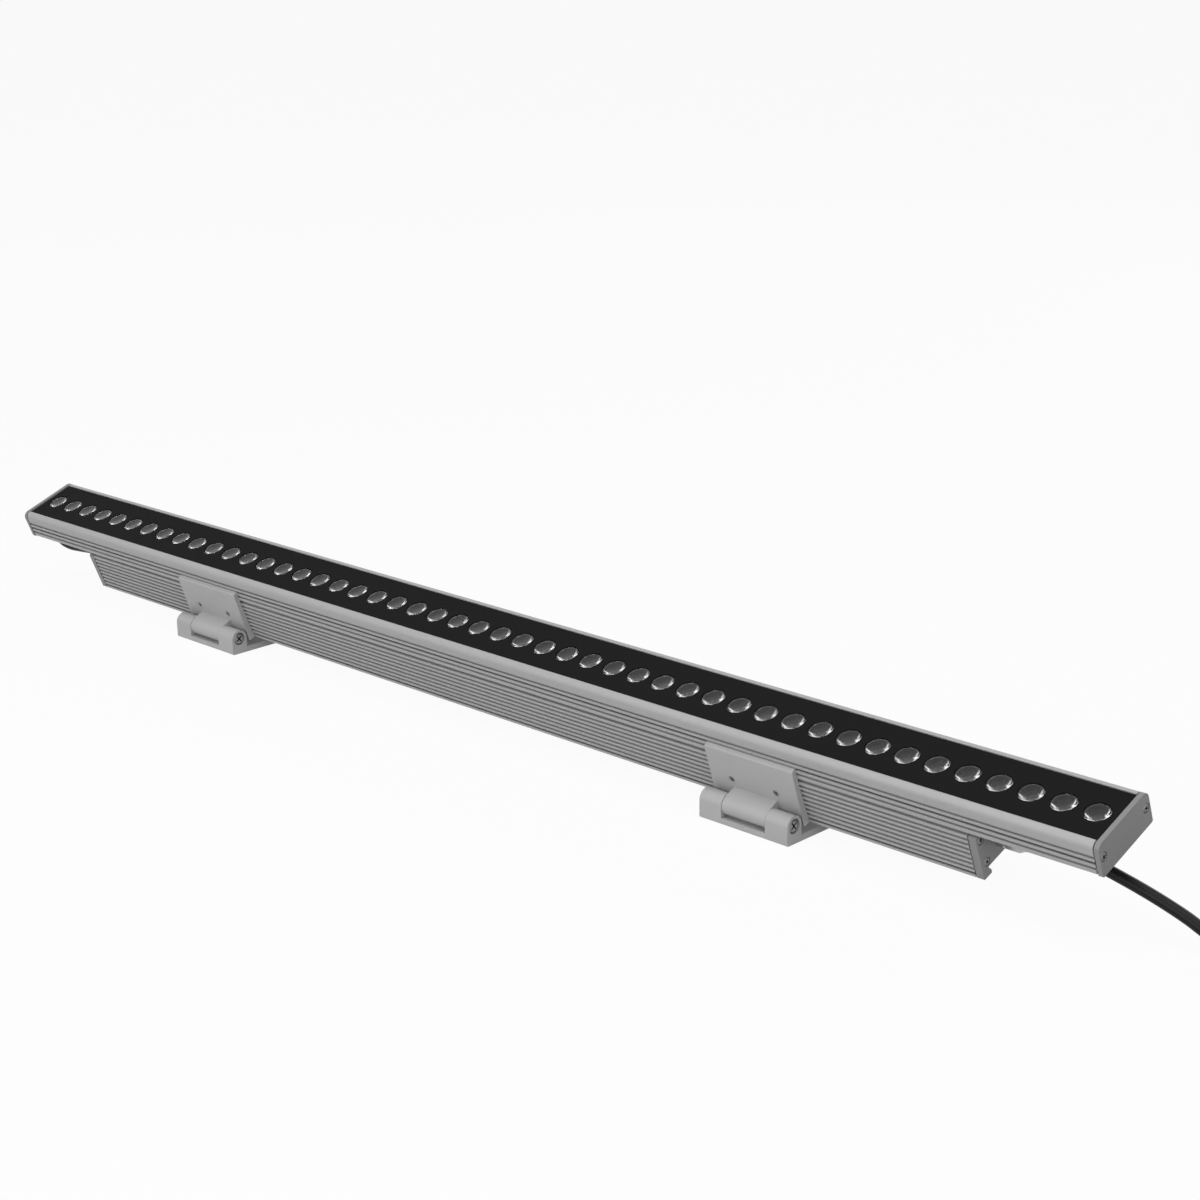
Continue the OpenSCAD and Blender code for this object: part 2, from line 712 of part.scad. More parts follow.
// Cross-recess screws of the head caps
module head_cap_screws() color(steel) tilted() ends() for (s = [-1, 1])
    cap_screw(lamp_l / 2, s * head_screw_y, -head_screw_drop, cap_screw_grip - cap_head_h + over);

// The places of the four screw ports of a driver cap, as [y, z]
box_ports = [for (s = [-1, 1])
    each [[s * port_top_y, box_top - port_top_drop], [s * port_low_y, box_low + port_low_rise]]];

// Outline of the driver housing's box and feet, without grooves
driver_front = [[-side_y, box_top], [-side_y, rail_low], [-side_y + rail_lip, rail_low],
    [-side_y + rail_lip, rail_low + rail_lip_h], [-side_y + rail_t, box_low]];
driver_back = [for (i = [len(driver_front) - 1 : -1 : 0]) [-driver_front[i][0], driver_front[i][1]]];
module driver_outline() polygon(concat(driver_front, driver_back));

// The driver housing's extrusion
module driver_housing() color(silver) tilted() difference() {
    translate([box_mid, 0, 0]) profile(box_l) {
        difference() {
            union() {
                driver_outline();
                slab(-side_y + seat_inset, side_y - seat_inset, box_top - over, head_low);
            }
            difference() {
                slab(-bay_y, bay_y, bay_low, bay_top);
                for (p = box_ports) translate(p) circle(port_r + port_wall);
            }
            for (p = box_ports) translate(p) circle(port_r);
            sides() {
                grooves(box_top - driver_groove_drop, driver_groove_pitch, driver_groove_n);
                hook_groove(hook_box_z);
            }
        }
    }
    joint_screw_places() translate([0, 0, bay_top - over])
        cylinder(r = joint_screw_r + run_gap, h = driver_h);
    arm_places() for (x = [-set_span / 2, set_span / 2])
        translate([x, -side_y - over, set_z]) rotate([-90, 0, 0])
            cylinder(r = set_r + run_gap, h = set_bite + over);
}

// A driver cap at the right end
module driver_cap() color(satin) difference() {
    section(box_cap_x, driver_cap_t) difference() {
        driver_outline();
        sides() translate([-side_y, box_top]) mirror([0, 1]) corner_waste(driver_cap_r);
    }
    for (p = box_ports) cap_screw_hole(box_end_x, p[0], p[1], driver_cap_t);
}
module right_driver_cap() tilted() difference() {
    driver_cap();
    rod(box_cap_x - over, 0, gland_z, gland_stub_r + run_gap, driver_cap_t + 2 * over);
}
module left_driver_cap() tilted() difference() {
    at_left_end() driver_cap();
    rod(left_end_x - over, link_front, link_z, link_stub_r + run_gap, driver_cap_t + 2 * over);
}

// Gaskets between the driver housing and its caps
module driver_cap_gaskets() color(rubber) tilted() driver_ends()
    section(box_cap_x - gasket_t, gasket_t) difference() {
        slab(-side_y + gasket_inset, side_y - gasket_inset, box_low + gasket_inset, box_top - gasket_inset);
        difference() {
            slab(-bay_y, bay_y, bay_low, bay_top);
            for (p = box_ports) translate(p) circle(port_r + port_wall);
        }
        for (p = box_ports) translate(p) circle(port_r);
    }

// Cross-recess screws of the driver caps
module driver_cap_screws() color(steel) tilted() driver_ends() for (p = box_ports)
    cap_screw(box_end_x, p[0], p[1], cap_screw_grip + driver_cap_t - cap_head_h);

// The places of the screws that join head and driver housing
module joint_screw_places() for (x = [-joint_x_out, -joint_x_in, joint_x_in, joint_x_out])
    translate([x, 0, 0]) children();

// Countersunk screws from the head's web down into the driver housing's roof
module housing_screws() color(steel) tilted() joint_screw_places() difference() {
    union() {
        translate([0, 0, bay_top]) cylinder(r = joint_screw_r, h = web_top - joint_head_h - bay_top);
        translate([0, 0, web_top - joint_head_h])
            cylinder(r1 = joint_screw_r, r2 = joint_head_r, h = joint_head_h);
    }
    translate([0, 0, web_top - cross_d]) cylinder(d = socket_af / cos(30), h = cross_d + over, $fn = hex);
}

// Potted LED driver on the floor of the bay
module power_supply() color("#c9c9c6") tilted()
    profile(supply_l) slab(-supply_w / 2, supply_w / 2, bay_low, bay_low + supply_h);

// Terminal block for the supply cable
module terminal_block() color(white) tilted()
    section(block_x, block_l) slab(-block_w / 2, block_w / 2, bay_low, bay_low + block_h);

// Single leads from the terminal block to the LED driver
module supply_leads() color("#5a4632") tilted() for (k = [-1, 0, 1])
    rod(supply_x, k * lead_wire_pitch, bay_low + lead_wire_rise, lead_wire_d / 2, block_gap);

// Inner length of the supply cable, from the terminal block through the gland
module supply_tail() color(jet) tilted()
    rod(block_x + block_l, 0, gland_z, cable_r, gland_end_x - block_x - block_l);

// Supply gland: stub, flange and neck
module supply_gland() color(steel) tilted() difference() {
    union() {
        rod(box_cap_x, 0, gland_z, gland_stub_r, driver_cap_t + over / 2);
        hex_rod(box_end_x, 0, gland_z, gland_af, gland_flange_t);
        rod(box_end_x, 0, gland_z, gland_neck_r, gland_flange_t + gland_neck_l);
    }
    rod(box_cap_x - over, 0, gland_z, cable_r + run_gap,
        driver_cap_t + gland_flange_t + gland_neck_l + 2 * over);
}

// Supply gland's domed nut
module supply_gland_nut() color(steel) tilted() {
    x = box_end_x + gland_flange_t;
    difference() {
        union() {
            hex_rod(x, 0, gland_z, gland_af, gland_nut_l);
            translate([x + gland_nut_l, 0, gland_z]) rotate([0, 90, 0])
                cylinder(r1 = gland_af / 2, r2 = gland_tip_r, h = gland_dome_l);
        }
        rod(x - over, 0, gland_z, gland_neck_r + run_gap, gland_neck_l + over);
        rod(x, 0, gland_z, cable_r + run_gap, gland_nut_l + gland_dome_l + over);
        rod(x, 0, gland_z, gland_tip_r, gland_neck_l + gland_seal_l);
    }
}

// Rubber seal squeezed between the neck and the nut
module supply_gland_seal() color(rubber) tilted() difference() {
    rod(box_end_x + gland_flange_t + gland_neck_l, 0, gland_z, gland_tip_r - run_gap, gland_seal_l);
    rod(box_end_x + gland_flange_t, 0, gland_z, cable_r + run_gap, gland_neck_l + gland_seal_l + over);
}

// Link gland at the left driver cap: stub and flange
module link_gland() color(steel) tilted() difference() {
    union() {
        rod(left_end_x - over / 2, link_front, link_z, link_stub_r, driver_cap_t + over / 2);
        hex_rod(left_end_x - link_flange_t, link_front, link_z, link_af, link_flange_t);
    }
    rod(left_end_x - link_flange_t - over, link_front, link_z, link_r + run_gap,
        driver_cap_t + link_flange_t + 2 * over);
}

// Link gland's nut
module link_gland_nut() color(steel) tilted() difference() {
    translate([link_out_x, link_front, link_z]) rotate([0, 90, 0]) {
        cylinder(r1 = link_tip_r, r2 = link_af / 2, h = link_nut_l / 2);
        translate([0, 0, link_nut_l / 2]) cylinder(d = link_af / cos(30), h = link_nut_l / 2, $fn = hex);
    }
    rod(link_out_x - over, link_front, link_z, link_r + run_gap, link_nut_l + 2 * over);
}

// Lead from the LED driver to the boards in the head
module link_lead() color(jet) tilted() lead(link_route, link_r, link_sides);

// Grommet where the link lead enters the head
module link_grommet() color(rubber) tilted() translate([link_in_x, link_front, web_low]) difference() {
    union() {
        cylinder(r = link_r + grommet_wall, h = web_t);
        translate([0, 0, -grommet_t]) cylinder(r = grommet_r, h = grommet_t);
    }
    translate([0, 0, -grommet_t - over]) cylinder(r = link_r + run_gap, h = web_t + grommet_t + 2 * over);
}

// Connector on the board, over the link lead's end
module board_connector() color(white) tilted()
    translate([link_in_x - plug_l / 2, link_front - plug_w + link_r / 2, board_top])
        cube([plug_l, plug_w, plug_h]);

// The places of the two brackets
module arm_places() for (s = [-1, 1]) translate([s * bracket_x, 0, 0]) children();

// A clip plate with hooks, neck and hinge knuckle, in the lamp's own frame
module arm() color(silver) difference() {
    union() {
        profile(plate_w) {
            polygon([[plate_y, plate_top], [plate_y - plate_top_t, plate_top - plate_slope],
                [plate_y - plate_low_t, rail_low], [plate_y, rail_low]]);
            hook(hook_head_z);
            hook(hook_box_z);
        }
        profile(knuckle_w) {
            polygon([[neck_root_y, neck_top], [neck_face_y, neck_top], neck_end, [axis_y, axis_z],
                [neck_face_y, neck_top - neck_t], [neck_root_y, neck_top - neck_t]]);
            translate([axis_y, axis_z]) circle(knuckle_r);
        }
    }
    rod(-knuckle_w / 2 - over, axis_y, axis_z, bolt_r + run_gap, knuckle_w + 2 * over);
    set_places(plate_y - plate_low_t - over) cylinder(r = set_r + run_gap, h = plate_low_t + 2 * over);
}
module left_arm() tilted() translate([-bracket_x, 0, 0]) arm();
module right_arm() tilted() translate([bracket_x, 0, 0]) arm();

// The places of a plate's two set screws, starting at y and pointing backwards
module set_places(y) for (x = [-set_span / 2, set_span / 2])
    translate([x, y, set_z]) rotate([-90, 0, 0]) children();

// The two set screws of a plate
module arm_screws() color(steel) set_places(set_face_y) difference() {
    cylinder(r = set_r, h = plate_y + set_bite - set_face_y);
    translate([0, 0, -over]) cylinder(d = socket_af / cos(30), h = cross_d + over, $fn = hex);
}
module left_arm_screws() tilted() translate([-bracket_x, 0, 0]) arm_screws();
module right_arm_screws() tilted() translate([bracket_x, 0, 0]) arm_screws();

// A foot: base plate, two ears and two fixing holes, centred on its own middle
module foot() color(silver) difference() {
    profile(foot_w) difference() {
        union() {
            slab(foot_front, foot_front + foot_d, 0, foot_t);
            slab(hinge_y - ear_r, hinge_y + ear_r, 0, hinge_h);
            translate([hinge_y, hinge_h]) circle(ear_r);
        }
        translate([foot_front, 0]) corner_waste(foot_edge_r);
    }
    translate([-ear_span / 2, foot_front - over, foot_t])
        cube([ear_span, 2 * ear_r + 2 * over, hinge_h + ear_r]);
    rod(-foot_w / 2 - over, hinge_y, hinge_h, bolt_r + run_gap, foot_w + 2 * over);
    rod(foot_w / 2 - bore_head_d, hinge_y, hinge_h, bore_head_r, bore_head_d + over);
    hex_rod(-foot_w / 2 - over, hinge_y, hinge_h, nut_af + 2 * run_gap, nut_h + over);
    for (y = [-fix_spacing / 2, fix_spacing / 2])
        translate([0, y, -over]) cylinder(r = fix_r, h = foot_t + 2 * over);
}
module left_foot() translate([-bracket_x, 0, 0]) foot();
module right_foot() translate([bracket_x, 0, 0]) foot();

// Hinge bolt with a sunk cross-recess head at its right end
module hinge_bolt() color(steel) translate([0, hinge_y, hinge_h]) {
    head_x = foot_w / 2 - bore_head_d;
    difference() {
        union() {
            rod(head_x, 0, 0, bolt_head_r, bolt_head_h);
            rod(-foot_w / 2, 0, 0, bolt_r, head_x + foot_w / 2 + over / 2);
        }
        translate([head_x + bolt_head_h, 0, 0]) cross_recess(bolt_r);
    }
}
module left_hinge_bolt() translate([-bracket_x, 0, 0]) hinge_bolt();
module right_hinge_bolt() translate([bracket_x, 0, 0]) hinge_bolt();

// Hinge nut in its hexagonal pocket
module hinge_nut() color(steel) translate([-foot_w / 2, hinge_y, hinge_h]) difference() {
    hex_rod(0, 0, 0, nut_af, nut_h);
    rod(-over, 0, 0, bolt_r + run_gap, nut_h + 2 * over);
}
module left_hinge_nut() translate([-bracket_x, 0, 0]) hinge_nut();
module right_hinge_nut() translate([bracket_x, 0, 0]) hinge_nut();

// Free length of the supply cable, from the gland to the coil and from the coil to the connector
module power_cable() color(jet) {
    lead(cable_route, cable_r, cable_sides);
    rod(conn_at[0], conn_at[1], conn_at[2], cable_r, tail_l);
}

// The cable's coil, as one solid of its outer shape
module power_cable_coil() color(jet) translate(coil_at)
    rotate_extrude() translate([coil_r - cable_d, 0]) square([2 * cable_d, coil_h]);

// Tie round the coil
module coil_tie() color(rubber) translate(coil_at + [coil_r, 0, 0]) rotate([90, 0, 0])
    linear_extrude(tie_w, center = true) difference() {
        slab(-cable_d - 2 * tie_t, cable_d + 2 * tie_t, -tie_t, coil_h + tie_t);
        slab(-cable_d - tie_t, cable_d + tie_t, 0, coil_h);
    }

// Round waterproof connector, lying on the mounting face and pointing towards -X
module cable_connector() color(rubber) translate(conn_at) rotate([0, -90, 0]) difference() {
    union() {
        cylinder(r1 = cable_r + tie_t, r2 = conn_r, h = conn_back_l);
        translate([0, 0, conn_back_l]) cylinder(r = conn_r, h = conn_body_l);
        translate([0, 0, conn_back_l + conn_body_l]) cylinder(r = conn_collar_r, h = conn_collar_l);
        translate([0, 0, conn_face_l]) cylinder(r = conn_sleeve_r, h = conn_sleeve_l);
    }
    translate([0, 0, conn_face_l])
        cylinder(r = conn_sleeve_r - conn_sleeve_wall, h = conn_sleeve_l + over);
}

// Contact pins in the connector's sleeve
module connector_pins() color("#b99b4a") translate(conn_at) rotate([0, -90, 0])
    translate([0, 0, conn_face_l])
        for (k = [0 : pin_n - 1]) rotate([0, 0, 360 * k / pin_n]) translate([pin_circle_r, 0, 0])
            cylinder(r = pin_r, h = conn_sleeve_l * 2 / 3, $fn = fine_fn);

head_housing();
front_panel();
panel_seal();
lenses();
lens_holders();
led_boards();
leds();
left_head_cap();
right_head_cap();
head_cap_gaskets();
head_cap_screws();
driver_housing();
left_driver_cap();
right_driver_cap();
driver_cap_gaskets();
driver_cap_screws();
housing_screws();
power_supply();
terminal_block();
supply_leads();
supply_tail();
supply_gland();
supply_gland_nut();
supply_gland_seal();
link_gland();
link_gland_nut();
link_lead();
link_grommet();
board_connector();
left_arm();
right_arm();
left_arm_screws();
right_arm_screws();
left_foot();
right_foot();
left_hinge_bolt();
right_hinge_bolt();
left_hinge_nut();
right_hinge_nut();
power_cable();
power_cable_coil();
coil_tie();
cable_connector();
connector_pins();
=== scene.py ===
import math
import bmesh
import bpy
from mathutils import Matrix, Vector
from mathutils.geometry import tessellate_polygon


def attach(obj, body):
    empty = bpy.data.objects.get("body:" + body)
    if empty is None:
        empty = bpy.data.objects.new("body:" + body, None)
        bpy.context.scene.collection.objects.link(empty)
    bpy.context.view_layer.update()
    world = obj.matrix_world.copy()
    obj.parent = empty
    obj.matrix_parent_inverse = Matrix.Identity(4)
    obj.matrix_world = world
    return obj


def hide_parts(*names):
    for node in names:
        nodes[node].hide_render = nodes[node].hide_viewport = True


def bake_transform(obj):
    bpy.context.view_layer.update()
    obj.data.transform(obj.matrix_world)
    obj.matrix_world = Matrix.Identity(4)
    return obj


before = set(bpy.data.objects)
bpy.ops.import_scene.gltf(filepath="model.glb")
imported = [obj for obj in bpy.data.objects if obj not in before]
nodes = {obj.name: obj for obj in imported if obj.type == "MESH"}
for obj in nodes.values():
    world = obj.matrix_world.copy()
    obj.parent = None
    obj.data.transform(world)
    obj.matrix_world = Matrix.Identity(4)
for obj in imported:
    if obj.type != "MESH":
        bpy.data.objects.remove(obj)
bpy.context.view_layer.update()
print("frame loaded:", len(nodes), "nodes")

mm = 0.001

# The lamp's own frame, as in the part's source: x along it, y to the back, z up from the panel's face
tilt = math.radians(21)
hinge = {"y": -37.4 * mm, "z": 11.2 * mm}
axis = {"y": -37.4 * mm, "z": -45.6 * mm}
lampFrame = (Matrix.Translation((0, hinge["y"], hinge["z"])) @ Matrix.Rotation(tilt, 4, "X")
             @ Matrix.Translation((0, -axis["y"], -axis["z"])))
halfWidth = 24.8 * mm
headLow = -19.6 * mm
rimTop = 0.7 * mm
boxTop = -22 * mm
boxLow = -46.4 * mm
railLow = -52 * mm
headHalf = 496.2 * mm
boxRight = 413.45 * mm
boxLeft = -416.45 * mm
boxCapX = 414.25 * mm
boxEndX = 419.25 * mm
boxLeftEnd = -422.25 * mm
headCapX = 497 * mm
headCapEnd = 500 * mm
bracketX = 262 * mm
toLeft = Matrix.Scale(-1, 4, (1, 0, 0))  # the lamp's right end turned into its left end
toBoxLeft = Matrix.Translation((boxEndX + boxLeftEnd, 0, 0)) @ toLeft


# Mesh helpers

# A new object in the scene, from its data
def placed(name, data):
    result = bpy.data.objects.new(name, data)
    bpy.context.scene.collection.objects.link(result)
    return result


# A finished mesh as a piece that rides on a body and stands for its CAD nodes
def newPiece(name, mesh, material, body, slotName, *replaced):
    piece = placed(name, mesh)
    piece.data.materials.clear()
    piece.data.materials.append(material)
    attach(piece, body)
    if replaced:
        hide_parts(*replaced)
    return piece


def meshOf(name, vertices, faces):
    mesh = bpy.data.meshes.new(name)
    mesh.from_pydata(vertices, [], faces)
    mesh.update()
    return mesh


# A cross-section of (y, z) points, with holes, drawn out along X from x0 to x1
def prismMesh(outline, x0, x1, holes=()):
    loops = [outline, *holes]
    flat = [point for loop in loops for point in loop]
    count = len(flat)
    vertices = [(x0, y, z) for y, z in flat] + [(x1, y, z) for y, z in flat]
    faces = []
    for triangle in tessellate_polygon([[Vector((y, z, 0)) for y, z in loop] for loop in loops]):
        faces.append(list(triangle))
        faces.append([i + count for i in reversed(triangle)])
    start = 0
    for loop in loops:
        for i in range(len(loop)):
            a, b = start + i, start + (i + 1) % len(loop)
            faces.append([a, b, b + count, a + count])
        start += len(loop)
    mesh = meshOf("prism", vertices, faces)
    tidy(mesh)
    return mesh


# Joins doubled points and turns every face outwards
def tidy(mesh, merge=0.002 * mm):
    work = bmesh.new()
    work.from_mesh(mesh)
    bmesh.ops.remove_doubles(work, verts=work.verts, dist=merge)
    bmesh.ops.recalc_face_normals(work, faces=work.faces)
    work.to_mesh(mesh)
    work.free()


# A closed outline with an arc of its own radius at each corner; radius 0 keeps the corner
def rounded(points, radii, steps=4):
    result = []
    count = len(points)
    for i, (y, z) in enumerate(points):
        here = Vector((y, z))
        radius = radii[i] if isinstance(radii, (list, tuple)) else radii
        toBack = Vector(points[i - 1]) - here
        toNext = Vector(points[(i + 1) % count]) - here
        angle = toBack.angle(toNext)
        if radius <= 0 or angle > math.pi - 0.01:
            result.append((y, z))
            continue
        reach = min(radius / math.tan(angle / 2), toBack.length * 0.97, toNext.length * 0.97)
        radius = reach * math.tan(angle / 2)
        inward = (toBack.normalized() + toNext.normalized()).normalized()
        middle = here + inward * (radius / math.sin(angle / 2))
        start = here + toBack.normalized() * reach - middle
        end = here + toNext.normalized() * reach - middle
        sweep = start.angle_signed(end)
        for k in range(steps + 1):
            turned = Matrix.Rotation(-sweep * k / steps, 2) @ start
            result.append((middle.x + turned.x, middle.y + turned.y))
    return result


def circle(y, z, radius, count=32):
    return [(y + radius * math.cos(2 * math.pi * k / count), z + radius * math.sin(2 * math.pi * k / count))
            for k in range(count)]


# A profile of (x, radius) points turned round the X axis
def lathe(profile, count=48, closed=False):
    vertices = []
    faces = []
    for x, radius in profile:
        vertices += [(x, y, z) for y, z in circle(0, 0, radius, count)]
    rings = len(profile)
    for i in range(rings if closed else rings - 1):
        a, b = i * count, ((i + 1) % rings) * count
        for k in range(count):
            n = (k + 1) % count
            faces.append([a + k, a + n, b + n, b + k])
    if not closed:
        faces.append(list(range(count)))
        faces.append([(rings - 1) * count + k for k in reversed(range(count))])
    mesh = meshOf("lathe", vertices, faces)
    tidy(mesh)
    return mesh


# Several meshes as one
def joined(*meshes):
    work = bmesh.new()
    for mesh in meshes:
        work.from_mesh(mesh)
    result = bpy.data.meshes.new("joined")
    work.to_mesh(result)
    work.free()
    return result


def moved(mesh, matrix):
    copy = mesh.copy()
    copy.transform(matrix)
    if matrix.determinant() < 0:
        copy.flip_normals()
    return copy


# The mesh with other meshes taken away from it, or added to it
def combined(kind, mesh, *others):
    body = placed("cutBody", mesh)
    tool = placed("cutTool", joined(*others))
    modifier = body.modifiers.new("cut", "BOOLEAN")
    modifier.operation = kind
    modifier.solver = "EXACT"
    modifier.use_self = True
    modifier.object = tool
    result = bpy.data.meshes.new_from_object(body.evaluated_get(bpy.context.evaluated_depsgraph_get()))
    bpy.data.objects.remove(body)
    bpy.data.objects.remove(tool)
    return result


# Rounds the sharp edges and shades the rest smoothly
def soften(piece, width, segments=2, angle=32):
    bevel = piece.modifiers.new("bevel", "BEVEL")
    bevel.width = width
    bevel.segments = segments
    bevel.limit_method = "ANGLE"
    bevel.angle_limit = math.radians(angle)
    bevel.harden_normals = True
    bevel.use_clamp_overlap = True
    piece.data.shade_smooth()
    return piece


def cut(mesh, *cutters):
    return combined("DIFFERENCE", mesh, *cutters)


def smoothByAngle(mesh, angle=35):
    mesh.shade_smooth()
    mesh.set_sharp_from_angle(angle=math.radians(angle))
    return mesh


# A round bar from start along X, Y or Z
def rodAlong(direction, start, radius, length, count=32):
    mesh = lathe([(0, radius), (length, radius)], count)
    turn = {"X": Matrix.Identity(4), "Y": Matrix.Rotation(math.pi / 2, 4, "Z"),
            "Z": Matrix.Rotation(-math.pi / 2, 4, "Y")}[direction]
    return moved(mesh, Matrix.Translation(start) @ turn)


def boxMesh(low, high):
    outline = [(low[1], low[2]), (high[1], low[2]), (high[1], high[2]), (low[1], high[2])]
    return prismMesh(outline, low[0], high[0])


# A hexagonal bar along X with chamfered ends, by its width over flats, with a corner up
def hexMesh(x0, x1, flats, chamferLow=0.0, chamferHigh=0.0):
    corner = flats / math.sqrt(3)
    outline = [(corner * math.sin(k * math.pi / 3), corner * math.cos(k * math.pi / 3)) for k in range(6)]
    mesh = prismMesh(outline, x0, x1)
    over = 1 * mm
    cones = []
    for end, chamfer, sign in ((x0, chamferLow, -1), (x1, chamferHigh, 1)):
        if chamfer:
            inner = corner - 2.4 * chamfer
            profile = [(end - sign * chamfer, corner + over), (end + sign * over, corner + over),
                       (end + sign * over, inner - over), (end, inner), (end - sign * chamfer, corner)]
            cones.append(lathe(profile, 48, closed=True))
    return cut(mesh, *cones) if cones else mesh


# Turns X into Z, Y into X and Z into Y
standing = Matrix(((0, 1, 0, 0), (0, 0, 1, 0), (1, 0, 0, 0), (0, 0, 0, 1)))


# A flat plate of (x, y) outlines with holes, between two heights
def plateMesh(outline, z0, z1, holes=()):
    mesh = prismMesh(outline, z0, z1, holes)
    return moved(mesh, standing)


# A profile of (radius, z) points turned round the Z axis
def turnedUp(profile, count=40):
    mesh = lathe([(z, r) for r, z in profile], count)
    return moved(mesh, standing)


# The cross that a screwdriver fits in, with its wider middle, cut along -X from a face at x = 0
def crossCutter(reach, width, depth, turn=0.0):
    arms = [boxMesh((-depth, -reach, -width / 2), (1 * mm, reach, width / 2)),
            boxMesh((-depth, -width / 2, -reach), (1 * mm, width / 2, reach)),
            rodAlong("X", (-depth, 0, 0), width, depth + 1 * mm, 16)]
    return moved(joined(*arms), Matrix.Rotation(math.radians(turn), 4, "X"))


# Marks the points down in a screw's cross for painted shade, which paints the cross dark
def markCrossShade(mesh, reach, width, depth):
    sunk = mesh.attributes.new("paintedShade", "FLOAT", "POINT")
    for i, vertex in enumerate(mesh.vertices):
        inside = math.hypot(vertex.co.y, vertex.co.z) < reach + width / 2
        sunk.data[i].value = 1 if inside and -1.05 * depth < vertex.co.x < -0.1 * mm else 0
    return mesh


# A round tube along points, with its rings turned as little as possible
def tube(points, radius, sides=20):
    points = [Vector(p) for p in points]
    tangents = [(points[min(i + 1, len(points) - 1)] - points[max(i - 1, 0)]).normalized()
                for i in range(len(points))]
    side = tangents[0].cross(Vector((0, 1, 0))).normalized()
    vertices = []
    for point, tangent in zip(points, tangents):
        side = (side - tangent * side.dot(tangent)).normalized()
        up = tangent.cross(side)
        vertices += [point + radius * (math.cos(2 * math.pi * k / sides) * side
                                       + math.sin(2 * math.pi * k / sides) * up) for k in range(sides)]
    faces = []
    for i in range(len(points) - 1):
        for k in range(sides):
            a, n = i * sides, (k + 1) % sides
            faces.append([a + k, a + n, a + sides + n, a + sides + k])
    faces.append(list(range(sides)))
    faces.append([(len(points) - 1) * sides + k for k in reversed(range(sides))])
    mesh = meshOf("tube", vertices, faces)
    tidy(mesh)
    mesh.shade_smooth()
    return mesh


# A smooth curve through the points, with more points between them
def smoothPath(points, share=4):
    points = [Vector(p) for p in points]
    result = []
    for i in range(len(points) - 1):
        a, b = points[max(i - 1, 0)], points[i]
        c, d = points[i + 1], points[min(i + 2, len(points) - 1)]
        for k in range(share):
            t = k / share
            result.append(0.5 * (2 * b + (c - a) * t + (2 * a - 5 * b + 4 * c - d) * t ** 2
                                 + (3 * b - a - 3 * c + d) * t ** 3))
    result.append(points[-1])
    return result


# Materials

# A shared node group with its inputs and one output for each shader socket that it feeds
def effectGroup(name, outputs, build):
    group = bpy.data.node_groups.new(name, "ShaderNodeTree")
    for kind, label in outputs:
        group.interface.new_socket(label, in_out="OUTPUT", socket_type=kind)
    group.interface.new_socket("Amount", in_out="INPUT", socket_type="NodeSocketFloat").default_value = 1
    group.interface.new_socket("Tone", in_out="INPUT", socket_type="NodeSocketColor")
    group.interface.new_socket("Rough", in_out="INPUT", socket_type="NodeSocketFloat").default_value = 0.4
    build(group, group.nodes.new("NodeGroupInput"), group.nodes.new("NodeGroupOutput"))
    return group


def noiseNode(group, scale, detail, stretch=(1, 1, 1)):
    place = group.nodes.new("ShaderNodeTexCoord")
    mapping = group.nodes.new("ShaderNodeMapping")
    mapping.inputs["Scale"].default_value = stretch
    noise = group.nodes.new("ShaderNodeTexNoise")
    noise.inputs["Scale"].default_value = scale
    noise.inputs["Detail"].default_value = detail
    group.links.new(place.outputs["Object"], mapping.inputs["Vector"])
    group.links.new(mapping.outputs["Vector"], noise.inputs["Vector"])
    return noise.outputs["Fac"]


def mapTo(group, value, low, high, fromLow=0.3, fromHigh=0.7):
    ranged = group.nodes.new("ShaderNodeMapRange")
    ranged.inputs["From Min"].default_value = fromLow
    ranged.inputs["From Max"].default_value = fromHigh
    ranged.inputs["To Min"].default_value = low
    ranged.inputs["To Max"].default_value = high
    group.links.new(value, ranged.inputs["Value"])
    return ranged.outputs["Result"]


def calc(group, kind, *values):
    node = group.nodes.new("ShaderNodeMath")
    node.operation = kind
    for socket, value in zip(node.inputs, values):
        if isinstance(value, (int, float)):
            socket.default_value = value
        else:
            group.links.new(value, socket)
    return node.outputs[0]


def scaled(group, colour, factor):
    node = group.nodes.new("ShaderNodeVectorMath")
    node.operation = "SCALE"
    group.links.new(colour, node.inputs[0])
    group.links.new(factor, node.inputs["Scale"])
    return node.outputs[0]


surfaceSockets = [("NodeSocketColor", "Base Color"), ("NodeSocketFloat", "Roughness"),
                  ("NodeSocketFloat", "Bump Height")]


# Painted shade: how much darker the tone gets where a mesh's own painted shade value is 1, down in the
# grooves, in the screws' crosses and in the lens middles
def paintedShadeFactor(group, darkest):
    paintedShade = group.nodes.new("ShaderNodeAttribute")
    paintedShade.attribute_name = "paintedShade"
    return mapTo(group, paintedShade.outputs["Fac"], 1, darkest, 0, 1)


# Extruded metal: faint die lines along X, cloudiness of the anodising, a fine grain, and painted shade down
# in the side grooves
def drawnSurface(group, source, out):
    lines = noiseNode(group, 1, 2, (2, 900, 900))
    cloud = noiseNode(group, 22, 4, (0.4, 1, 1))
    fine = noiseNode(group, 2600, 2)
    tone = calc(group, "ADD", mapTo(group, lines, -0.012, 0.012), mapTo(group, cloud, 0.98, 1.02))
    # Painted shade: the colour darkens to 0.52 down in the marked grooves
    tone = calc(group, "MULTIPLY", tone, paintedShadeFactor(group, 0.52))
    group.links.new(scaled(group, source.outputs["Tone"], tone), out.inputs["Base Color"])
    rough = calc(group, "ADD", mapTo(group, cloud, -0.04, 0.04), mapTo(group, fine, -0.03, 0.03))
    group.links.new(calc(group, "ADD", source.outputs["Rough"], rough), out.inputs["Roughness"])
    height = calc(group, "ADD", calc(group, "MULTIPLY", lines, 0.4), calc(group, "MULTIPLY", fine, 0.3))
    group.links.new(calc(group, "MULTIPLY", height, source.outputs["Amount"]), out.inputs["Bump Height"])
